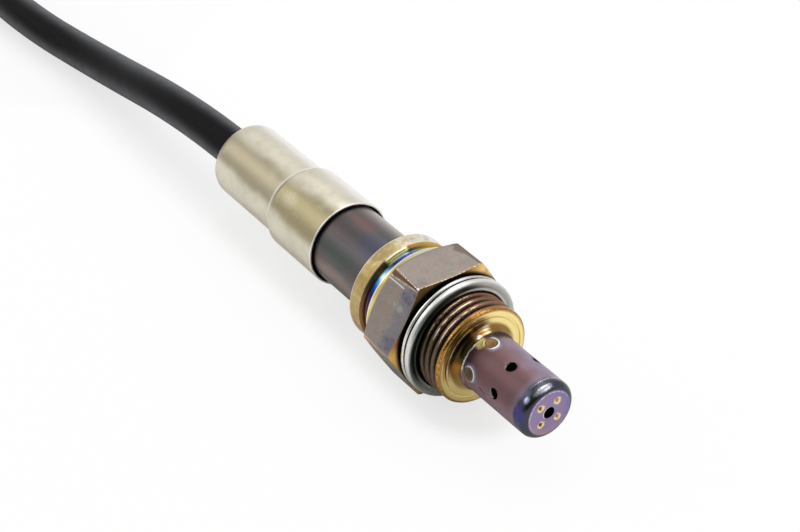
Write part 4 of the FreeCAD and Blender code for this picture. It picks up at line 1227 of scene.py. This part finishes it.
def flange_colour(f, fine):
    """Flange and neck: pale gold, brown at the outer ridge, with painted dark reflection on the side towards
    the hexagon.
    """
    base = f.mix(fine.step(0.45, 0.8) * 0.25, screen(255, 234, 160), screen(240, 206, 128))
    far = turned(f, -50.0)
    shadowed = far.band(0.0, 78.0).step(0.05, 0.5)
    dark = far.band(0.0, 42.0).step(0.05, 0.5)
    # painted reflections round the neck: dark streaks and a bright band
    neck = around(
        f,
        [
            (-150, 232, 204, 134),
            (-104, 150, 116, 60),
            (-84, 84, 62, 30),
            (-60, 70, 58, 32),
            (-26, 64, 50, 28),
            (-12, 236, 196, 118),
            (2, 255, 240, 196),
            (14, 150, 116, 62),
            (60, 140, 108, 58),
            (110, 232, 204, 134),
        ],
    )
    base = f.mix(f.radius.step(6.7, 6.0), base, neck)
    # painted dark reflection on the shadowed side
    base = f.mix(f.radius.step(8.1, 7.9) * shadowed * 0.9, base, screen(150, 104, 46))
    base = f.mix(f.radius.step(6.95, 6.75) * dark, base, neck)
    # painted highlights: two bright lines beside the face groove
    base = f.mix(f.radius.band(7.08, 0.2) * shadowed, base, screen(255, 246, 190))
    base = f.mix(f.radius.band(7.62, 0.2) * shadowed, base, screen(255, 226, 136))
    # painted glint where the neck meets the cap
    glint = off_place(f, 6.2, -15.0, 0.6, 7.0).step(1.0, 0.3) * f.radius.step(6.0, 5.6)
    base = f.mix(glint, base, screen(255, 252, 236))
    narrow = 0.3 - far.band(0.0, 84.0) * 0.3
    ridge = f.mix(fine.step(0.35, 0.7), screen(136, 92, 44), screen(214, 164, 88))
    base = f.mix((f.radius - narrow + (fine - 0.5) * 0.3).step(7.95, 8.4), base, ridge)
    return f.mix(f.radius.band(7.36, 0.14) * (shadowed * 0.5 + 0.3), base, screen(130, 92, 44))


def thread_colour(f, fine):
    """Thread: olive and bronze crests, painted highlights on their worn front edges near the top, dark
    valleys.
    """
    flecks = f.noise(1.0, 3.0, f.wrapped(3.0, 9.0, 1.0))
    rough = f.noise(6.0, 3.0, f.wrapped(1.0, 4.0, 1.0))
    phase = ((f.x - THREAD_CREST_X) / mm("thread_pitch") + f.angle / TURN + 0.5) % 1.0
    crest = around(
        f,
        [
            (-110, 104, 80, 68),
            (-80, 92, 82, 64),
            (-52, 88, 80, 58),
            (-34, 128, 100, 74),
            (10, 138, 102, 80),
            (60, 142, 98, 74),
        ],
    )
    base = f.mix(fine.step(0.35, 0.75) * 0.5, crest, screen(150, 130, 108))
    top = turned(f, -26.0).band(0.0, 42.0).step(0.0, 0.5)
    base = f.mix(flecks.step(0.6, 0.66) * 0.6 * phase.band(0.5, 0.2), base, screen(50, 44, 38))
    # painted highlights on the worn front edges of the crests, on the top side
    worn = phase.band(0.64, 0.1).step(0.0, 0.4) * top * flecks.step(0.42, 0.5)
    base = f.mix(worn, base, screen(255, 232, 200))
    base = f.mix(phase.band(0.85, 0.15) * top * rough.step(0.46, 0.4), base, screen(16, 16, 18))
    # near-white specks in the rough patches: worn metal with painted glints
    base = f.mix(phase.band(0.8, 0.1) * top * rough.step(0.58, 0.62), base, screen(255, 250, 240))
    return f.mix(f.radius.step(8.7, 8.45) * 0.8, base, screen(52, 46, 40))


def shell_finish():
    """Heat-tinted shell: gold flange and washer face, bronze thread, mauve flats, blue groove, with painted
    light and shade.
    """
    f = Finish("heat_tinted_shell")
    front_x, rear_x = hex_ends()
    washer_x = rear_x - mm("washer_length")
    collar_x = washer_x - mm("groove_length")
    fine = f.noise(4.0, 4.0)
    cloud = f.noise(0.18, 3.0)
    patch = f.noise(0.42, 4.0)
    in_front = f.x.step(front_x + 0.1, front_x + 0.2)
    flange = f.x.step(4.6, 4.8)
    polished = f.x.step(rear_x + 0.05, rear_x) * f.x.step(collar_x - 0.7, collar_x - 0.55)
    flats = flats_colour(f, patch, cloud)
    base = f.mix(f.attribute("chamfer").step(0.3, 0.7), flats, chamfer_colour(f, patch))
    # painted shade: the hexagon's front face behind the gasket made near black
    base = f.mix(f.radius.step(CHAMFER_CIRCLE + 0.05, CHAMFER_CIRCLE - 0.05), base, screen(18, 15, 13))
    base = f.mix(in_front, base, thread_colour(f, fine))
    base = f.mix(flange, base, flange_colour(f, fine))
    base = f.mix(f.x.step(rear_x + 0.06, rear_x + 0.02), base, washer_colour(f, washer_x))
    base = f.mix(f.x.step(washer_x + 0.14, washer_x + 0.06), base, groove_colour(f))
    base = f.mix(f.x.step(collar_x + 0.18, collar_x + 0.08), base, shoulder_colour(f))
    base = f.mix(f.x.step(collar_x - 0.55, collar_x - 0.7), base, collar_colour(f, cloud))
    rough = 0.28 + fine * 0.16 + patch * 0.1 - (polished + flange) * 0.2
    turned_rings = f.noise(3.0, 2.0, f.wrapped(4.0, 0.4, 4.0))
    relief = fine * 0.6 + turned_rings * 0.4
    grooved = f.x.step(washer_x + 0.06, washer_x - 0.04) * f.x.step(collar_x - 0.7, collar_x - 0.55)
    # less metallic in the groove and under the painted highlight, so the painted colours show
    highlight_sector = turned(f, -15.0).band(0.0, 12.0).step(0.0, 0.2) * f.x.step(collar_x + 0.18, collar_x + 0.08)
    metal = 1 - grooved * (highlight_sector * 0.4 + 0.5)
    return f.done(Base_Color=base, Metallic=metal, Roughness=rough, Normal=f.bump(relief, 0.02))


class SENSOR_OT_shell(bpy.types.Operator):
    """Turns the threaded body with its hexagon, groove and rear collar"""

    bl_idname = "sensor.shell"
    bl_label = "Threaded body"

    def execute(self, context):
        bm = lathe(shell_outline(), SHELL_STEPS, closed=True)
        front_x, rear_x = hex_ends()
        edge = bm.verts.layers.float.new("edge")
        chamfer = bm.verts.layers.float.new("chamfer")
        for v in bm.verts:
            x, y, z = v.co / MM
            if not rear_x - 0.001 < x < front_x + 0.001 or math.hypot(y, z) < CHAMFER_CIRCLE - 0.1:
                continue
            first, last = chamfer_edges(hex_radius(math.atan2(y, z)))
            v[edge] = max(hump(x - first, 3 * EDGE_WEAR), 0.8 * hump(x - last, 3 * EDGE_WEAR))
            v[chamfer] = 1.0 if x > first + 0.01 or x < last - 0.01 else 0.0
        finished(bm, "threaded_body", shell_finish(), ["metal_shell"])
        return {"FINISHED"}


# Gasket, tube and sleeve

GASKET_STEPS = 240
GASKET_BORE = 9.15
GASKET_FOLD_X = -1.4  # where its two layers meet
TUBE_STEPS = 180
TUBE_WALL = 0.45
TUBE_LIP_RADIUS = 4.6  # opening in its front
TUBE_STEP_X = -44.0
TUBE_NECK_X = -46.0
TUBE_NECK_DEPTH = 0.8
SLEEVE_STEPS = 240
SLEEVE_WALL = 0.35
SLEEVE_STEP_X = -47.0
SLEEVE_SMALL_X = -48.3
SLEEVE_STEP_DEPTH = 0.84
# x, degrees, reach along the axis, reach in degrees, strength, screen values
TUBE_TINTS_AND_REFLECTION = (
    (-28.5, 6.0, 5.0, 22.0, 0.6, (124, 94, 88)),
    (-21.5, -20.0, 5.0, 26.0, 0.5, (84, 84, 116)),
    (-28.0, -60.0, 9.0, 20.0, 0.6, (82, 92, 86)),
    # painted reflection: lighter along the lower edge
    (-27.0, -94.0, 12.0, 18.0, 0.6, (158, 140, 130)),
)
RED_STAINS = (
    (-37.0, -34.0, 9.0, 30.0, 0.6, (118, 92, 90)),
    (-33.0, -90.0, 10.0, 24.0, 0.5, (118, 92, 90)),
)


def gasket_finish():
    """Bright folded steel, dull on its front with painted shade inwards and in its fold, grainy where it lies
    on the ground.
    """
    f = Finish("folded_gasket")
    fine = f.noise(3.5, 4.0)
    grain = f.noise(6.0, 3.0)
    cloud = f.noise(0.3, 3.0)
    base = f.mix(cloud.step(0.45, 0.7) * 0.35, tint("bright_steel"), shade("bright_steel", 0.75))
    outer = GASKET_BOX[1].z / MM
    share = (outer - f.radius) / (outer - GASKET_BORE) + (fine - 0.5) * 0.08
    # painted highlight and shade: bright at the outer roll, darkening inwards
    slope = f.ramp(
        share,
        [
            (0.04, tint("bright_steel")),
            (0.13, screen(150, 152, 148)),
            (0.24, screen(84, 90, 84)),
            (0.75, screen(54, 60, 54)),
        ],
    )
    inner = f.x.step(-1.1, -0.8)
    # painted light on the upper side of the front, less metallic there
    lit = turned(f, 58.0).band(0.0, 66.0).step(0.0, 0.6)
    slope = f.mix(lit * 0.9, slope, screen(214, 214, 208))
    base = f.mix(inner, base, slope)
    # painted shade: the fold between the two layers made black
    before_fold = f.x.step(GASKET_FOLD_X + 0.12, GASKET_FOLD_X + 0.04)
    behind_fold = f.x.step(GASKET_FOLD_X - 0.2, GASKET_FOLD_X - 0.12)
    base = f.mix(before_fold * behind_fold, base, screen(22, 22, 20))
    lip = f.radius.step(9.55, 9.47) * turned(f, 100.0).band(0.0, 140.0).step(0.05, 0.3)
    base = f.mix(lip, base, tint("bright_steel"))
    low = turned(f, -166.0).band(0.0, 84.0).step(0.1, 0.7) * f.x.step(-2.2, -1.9)
    gritty = f.mix(grain.step(0.4, 0.6), screen(122, 124, 118), screen(206, 206, 202))
    base = f.mix(low * 0.85, base, gritty)
    rings = f.noise(2.0, 2.0, f.wrapped(5.0, 0.5, 5.0))
    relief = rings * 0.6 + low * grain * 0.8
    rough = 0.16 + fine * 0.1 + inner * 0.14 + low * 0.3
    metal = 1 - low * 0.75 - lit * inner * 0.85
    return f.done(Base_Color=base, Metallic=metal, Roughness=rough, Normal=f.bump(relief, 0.012))


class SENSOR_OT_gasket(bpy.types.Operator):
    """Rolls the folded steel gasket on the thread"""

    bl_idname = "sensor.gasket"
    bl_label = "Gasket"

    def execute(self, context):
        rear = GASKET_BOX[0].x / MM
        outer = GASKET_BOX[1].z / MM
        outline = rounded(
            [
                (-0.2, GASKET_BORE),
                (0.0, GASKET_BORE + 0.12, 0.06),
                (0.0, GASKET_BORE + 0.34, 0.1),
                (-0.14, GASKET_BORE + 0.48, 0.1),
                (0.0, outer - 0.8, 0.3),
                (0.0, outer, 0.52),
                (GASKET_FOLD_X + 0.3, outer, 0.3),
                (GASKET_FOLD_X, outer - 0.6),
                (GASKET_FOLD_X - 0.22, outer, 0.2),
                (rear + 0.3, outer, 0.25),
                (rear, outer - 0.7, 0.3),
                (rear, GASKET_BORE + 0.3),
                (rear + 0.35, GASKET_BORE),
            ],
            6,
        )
        bm = lathe(outline, GASKET_STEPS, closed=True)
        finished(bm, "folded_gasket", gasket_finish(), ["gasket"])
        return {"FINISHED"}


def tube_finish():
    """Grey heat-tinted tube, greenish in its middle, with violet and reddish bands and painted reflections
    along it.
    """
    f = Finish("heat_tinted_tube", metallic=1.0)
    fine = f.noise(4.0, 4.0)
    bands = f.noise(0.5, 3.0, f.wrapped(0.12, 7.0))
    narrow = f.noise(0.9, 3.0, f.wrapped(0.05, 14.0))
    cloud = f.noise(0.12, 2.0)
    base = f.mix(bands.step(0.5, 0.75) * 0.8, tint("tube_grey"), screen(98, 88, 108))
    base = f.mix(bands.step(0.48, 0.25), base, screen(108, 90, 88))
    base = f.mix(cloud.step(0.45, 0.7) * 0.5, base, screen(92, 100, 94))
    base = f.mix(narrow.step(0.55, 0.75) * 0.4, base, screen(70, 68, 72))
    ragged = (bands - 0.5) * 2 + (cloud - 0.5)
    base = stains_and_glints(f, base, RED_STAINS, ragged, 1.2, 0.2)
    # painted dark reflection: darker on the side towards the view
    base = f.mix(turned(f, -30.0).band(0.0, 50.0) * 0.4, base, screen(66, 66, 64))
    base = stains_and_glints(f, base, TUBE_TINTS_AND_REFLECTION, ragged * 0.7, 1.1, 0.2)
    # painted reflection: light along the upper edge
    base = f.mix(turned(f, 44.0).band(0.0, 40.0) * 0.9, base, screen(200, 190, 186))
    rings = f.noise(2.0, 2.0, f.wrapped(5.0, 0.4))
    relief = rings * 0.5 + fine * 0.5
    return f.done(Base_Color=base, Roughness=0.3 + fine * 0.16, Normal=f.bump(relief, 0.015))


def sleeve_finish():
    """Satin nickel: khaki along its middle and pale on its far side as painted reflection, pale at its step
    as painted highlight.
    """
    f = Finish("satin_nickel")
    fine = f.noise(5.0, 4.0)
    drawn = f.noise(1.2, 3.0, f.wrapped(0.25, 26.0))
    cloud = f.noise(0.12, 3.0)
    base = f.mix(cloud.step(0.35, 0.7) * 0.5, shade("nickel", 1.12), shade("nickel", 0.94))
    # painted reflection: a khaki band along the side towards the view
    khaki = (turned(f, -44.0) + (cloud - 0.5) * 24).band(0.0, 40.0).step(0.05, 0.7)
    stain = f.noise(0.45, 5.0, roughness=0.68)
    tone = f.mix(f.x.step(-49.0, -45.0), screen(162, 151, 124), screen(154, 141, 100))
    base = f.mix(khaki * 0.85, base, tone)
    base = f.mix(stain.step(0.44, 0.7) * 0.25, base, screen(176, 166, 140))
    base = f.mix(stain.step(0.48, 0.3) * 0.14, base, screen(236, 232, 222))
    base = f.mix(drawn.step(0.6, 0.85) * 0.25, base, screen(170, 160, 138))
    rubs = (off_place(f, -43.5, -42.0, 2.6, 14.0) + (fine - 0.5) * 3.0).step(1.0, 0.4)
    base = f.mix(rubs * 0.2, base, screen(224, 218, 202))
    # painted reflection: pale on the far side, less metallic there
    far = turned(f, 54.0).band(0.0, 60.0).step(0.0, 0.7)
    base = f.mix(far * 0.85, base, screen(246, 243, 238))
    # painted highlight: a pale line along the step; pale at the mouth's rim too
    pale = f.x.band(SLEEVE_SMALL_X + 0.2, 0.75).step(0.0, 0.5)
    mouth = SLEEVE_BOX[1].x / MM
    rim = f.x.step(mouth - 0.35, mouth - 0.15)
    base = f.mix(pale * 0.55 + rim * 0.85, base, screen(250, 247, 240))
    relief = drawn * 0.6 + fine * 0.4
    metal = 1 - pale * 0.4 - far * 0.35
    return f.done(Base_Color=base, Metallic=metal, Roughness=0.3 + fine * 0.14, Normal=f.bump(relief, 0.012))


class SENSOR_OT_tube(bpy.types.Operator):
    """Draws the heat-tinted tube behind the collar"""

    bl_idname = "sensor.tube"
    bl_label = "Heat-tinted tube"

    def execute(self, context):
        front = TUBE_BOX[1].x / MM
        rear = TUBE_BOX[0].x / MM
        outside = mm("tube_diameter") / 2
        neck = outside - TUBE_NECK_DEPTH
        wall = TUBE_WALL
        outline = rounded(
            [
                (front, TUBE_LIP_RADIUS),
                (front, outside, wall),
                (TUBE_STEP_X, outside, 1.0),
                (TUBE_NECK_X, neck, 1.0),
                (rear, neck),
                (rear, neck - wall),
                (TUBE_NECK_X, neck - wall, 1.0),
                (TUBE_STEP_X, outside - wall, 1.0),
                (front - wall, outside - wall),
                (front - wall, TUBE_LIP_RADIUS),
            ]
        )
        bm = lathe(between(outline, 2.5), TUBE_STEPS, closed=True)
        finished(bm, "heat_tinted_tube", tube_finish(), ["outer_tube"])
        return {"FINISHED"}


class SENSOR_OT_sleeve(bpy.types.Operator):
    """Draws the stepped nickel sleeve over the rear of the tube"""

    bl_idname = "sensor.sleeve"
    bl_label = "Sleeve"

    def execute(self, context):
        mouth = SLEEVE_BOX[1].x / MM
        end = SLEEVE_BOX[0].x / MM
        large = mm("sleeve_diameter") / 2
        small = large - SLEEVE_STEP_DEPTH
        wall = SLEEVE_WALL
        cable = mm("cable_diameter") / 2 + 0.05
        outline = rounded(
            [
                (mouth - 0.5, large - wall),
                (mouth, large - wall, 0.1),
                (mouth, large, 0.12),
                (SLEEVE_STEP_X, large, 0.8),
                (SLEEVE_SMALL_X, small, 0.8),
                (end, small, 1.8),
                (end, cable, 0.1),
                (end + wall, cable, 0.1),
                (end + wall, small - wall, 1.45),
                (SLEEVE_SMALL_X, small - wall, 0.8),
                (SLEEVE_STEP_X, large - wall, 0.8),
            ]
        )
        bm = lathe(between(outline, 2.0), SLEEVE_STEPS, closed=True)
        finished(bm, "stepped_sleeve", sleeve_finish(), ["protective_sleeve"])
        return {"FINISHED"}


# Pieces inside, which keep their own meshes


def numbered(*names):
    """The four nodes of each name."""
    return tuple(f"{name}_{i}" for name in names for i in range(1, 5))


# nodes, material, its two screen colours, metallic, roughness, mottling per millimetre, relief in millimetres
INSIDE_FINISHES = (
    (
        ("front_ceramic", "rear_ceramic", "contact_holder_upper", "contact_holder_lower"),
        ("white_ceramic", (224, 221, 210), (206, 200, 186), 0.0, 0.45, 0.5, 0.02),
    ),
    (
        ("clamp_spring", *numbered("contact_spring", "crimp")),
        ("spring_strip", (206, 202, 192), (176, 170, 158), 1.0, 0.22, 0.6, 0.01),
    ),
    (numbered("lead_wire"), ("lead_insulation", (226, 226, 220), (206, 206, 198), 0.0, 0.4, 0.4, 0.02)),
    (("inner_protector",), ("dull_steel", (70, 64, 60), (44, 40, 38), 1.0, 0.4, 0.5, 0.02)),
    (("packing_powder",), ("pressed_powder", (176, 176, 170), (150, 150, 144), 0.0, 0.8, 1.5, 0.08)),
    (("pressure_ring",), ("plain_ring", (150, 150, 150), (126, 126, 124), 1.0, 0.3, 0.5, 0.01)),
    (("grommet",), ("grommet_rubber", (28, 28, 28), (38, 37, 36), 0.0, 0.6, 0.5, 0.03)),
    (("vent_membrane",), ("porous_film", (236, 236, 232), (222, 222, 216), 0.0, 0.7, 1.0, 0.03)),
    (("plug_pins",), ("plug_contacts", (214, 190, 128), (190, 166, 108), 1.0, 0.2, 0.8, 0.01)),
)


def plain_finish(name, base, other, metallic, roughness, scale, relief):
    """A finish with two mottled colours and a little relief, for the pieces inside."""
    f = Finish(name, metallic=metallic)
    coarse = f.noise(scale, 3.0)
    fine = f.noise(scale * 8, 3.0)
    mixed = f.mix(coarse.step(0.35, 0.7), screen(*base), screen(*other))
    return f.done(Base_Color=mixed, Roughness=roughness + fine * 0.15, Normal=f.bump(fine, relief))


def element_finish():
    """White ceramic, with the dark sensing end."""
    f = Finish("element_ceramic", roughness=0.5)
    fine = f.noise(4.0, 3.0)
    tip = f.x.step(8.0, 9.0)
    base = f.mix(tip, screen(232, 230, 222), screen(120, 118, 116))
    base = f.mix(fine.step(0.4, 0.8) * 0.2, base, screen(196, 190, 178))
    return f.done(Base_Color=base, Roughness=0.45 + fine * 0.15, Normal=f.bump(fine, 0.01))


def dress(node, material):
    """Gives a CAD node a better material."""
    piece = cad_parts[node]
    if not piece.material_slots:
        piece.data.materials.append(material)
    for place in piece.material_slots:
        place.material = material


class SENSOR_OT_inside(bpy.types.Operator):
    """Gives the ceramics, contacts, leads and seals inside their finishes"""

    bl_idname = "sensor.inside"
    bl_label = "Inside"

    def execute(self, context):
        for nodes, look in INSIDE_FINISHES:
            material = plain_finish(*look)
            for name in nodes:
                dress(name, material)
        dress("sensing_element", element_finish())
        return {"FINISHED"}


# Tie and plug


def softened(node, width, segments):
    """A merged copy of a CAD node's mesh with its sharp edges rounded."""
    bm = bmesh.new()
    bm.from_mesh(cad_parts[node].data)
    bmesh.ops.remove_doubles(bm, verts=bm.verts, dist=1e-6)
    bmesh.ops.dissolve_limit(bm, angle_limit=math.radians(1), verts=bm.verts, edges=bm.edges)
    sharp = [e for e in bm.edges if len(e.link_faces) == 2 and e.calc_face_angle(0.0) > math.radians(40)]
    bmesh.ops.bevel(
        bm,
        geom=sharp,
        offset=width * MM,
        offset_type="OFFSET",
        affect="EDGES",
        segments=segments,
        profile=0.5,
        material=-1,
        clamp_overlap=True,
    )
    return bm


def moulded_finish(name, base, roughness, grain):
    """Moulded plastic or rubber with an even fine grain."""
    f = Finish(name, roughness=roughness)
    fine = f.noise(grain, 3.0)
    cloud = f.noise(0.12, 3.0)
    lighter = tuple([min(1.0, part * 1.9) for part in base[:3]] + [1.0])
    mixed = f.mix(cloud.step(0.35, 0.75) * 0.6, base, lighter)
    return f.done(Base_Color=mixed, Roughness=roughness - 0.08 + fine * 0.2, Normal=f.bump(fine, 0.03))


class SENSOR_OT_tie(bpy.types.Operator):
    """Puts the nylon tie round the hank"""

    bl_idname = "sensor.tie"
    bl_label = "Tie"

    def execute(self, context):
        material = moulded_finish("tie_nylon", tint("plastic_black"), 0.38, 4.0)
        finished(softened("hank_tie", 0.25, 3), "nylon_tie", material, ["hank_tie"])
        return {"FINISHED"}


class SENSOR_OT_plug(bpy.types.Operator):
    bl_idname = "sensor.plug"
    bl_label = "Plug"

    def execute(self, context):
        black = tint("plastic_black")
        dull_black = shade("plastic_black", 0.8)
        # node, piece, slot, base colour, roughness, grain per millimetre, rounding in millimetres, its steps
        moulded = (
            ("plug_boot", "cable_boot", "boot_rubber", dull_black, 0.6, 2.0, 0.3, 3),
            ("plug_housing", "plug_body", "plug_plastic", black, 0.42, 3.0, 0.35, 3),
            ("plug_lock", "contact_lock", "lock_plastic", screen(96, 96, 94), 0.45, 3.0, 0.12, 2),
            ("plug_seal", "plug_gasket", "seal_rubber", screen(122, 62, 38), 0.55, 2.5, 0.3, 3),
        )
        for node, name, slot, base, roughness, grain, width, segments in moulded:
            material = moulded_finish(slot, base, roughness, grain)
            finished(softened(node, width, segments), name, material, [node])
        mm("cable_diameter") * MM
        return {"FINISHED"}


# Panel and registration

OPERATORS = (
    SENSOR_OT_stage,
    SENSOR_OT_cable,
    SENSOR_OT_cap,
    SENSOR_OT_shell,
    SENSOR_OT_gasket,
    SENSOR_OT_tube,
    SENSOR_OT_sleeve,
    SENSOR_OT_inside,
    SENSOR_OT_tie,
    SENSOR_OT_plug,
)


class SENSOR_PT_panel(bpy.types.Panel):
    """Lists the steps that build the sensor"""

    bl_idname = "SENSOR_PT_panel"
    bl_label = "Oxygen Sensor"
    bl_space_type = "VIEW_3D"
    bl_region_type = "UI"
    bl_category = "Sensor"

    def draw(self, context):
        for operator in OPERATORS:
            self.layout.operator(operator.bl_idname)


CLASSES = (SensorSizes, SensorColours, *OPERATORS, SENSOR_PT_panel)


def register():
    for each in CLASSES:
        bpy.utils.register_class(each)
    bpy.types.Scene.sensor_sizes = bpy.props.PointerProperty(type=SensorSizes)
    bpy.types.Scene.sensor_colours = bpy.props.PointerProperty(type=SensorColours)


def unregister():
    del bpy.types.Scene.sensor_colours
    del bpy.types.Scene.sensor_sizes
    for each in reversed(CLASSES):
        bpy.utils.unregister_class(each)


def main():
    register()
    for operator in OPERATORS:
        group, name = operator.bl_idname.split(".")
        getattr(getattr(bpy.ops, group), name)()


if __name__ == "__main__":
    main()
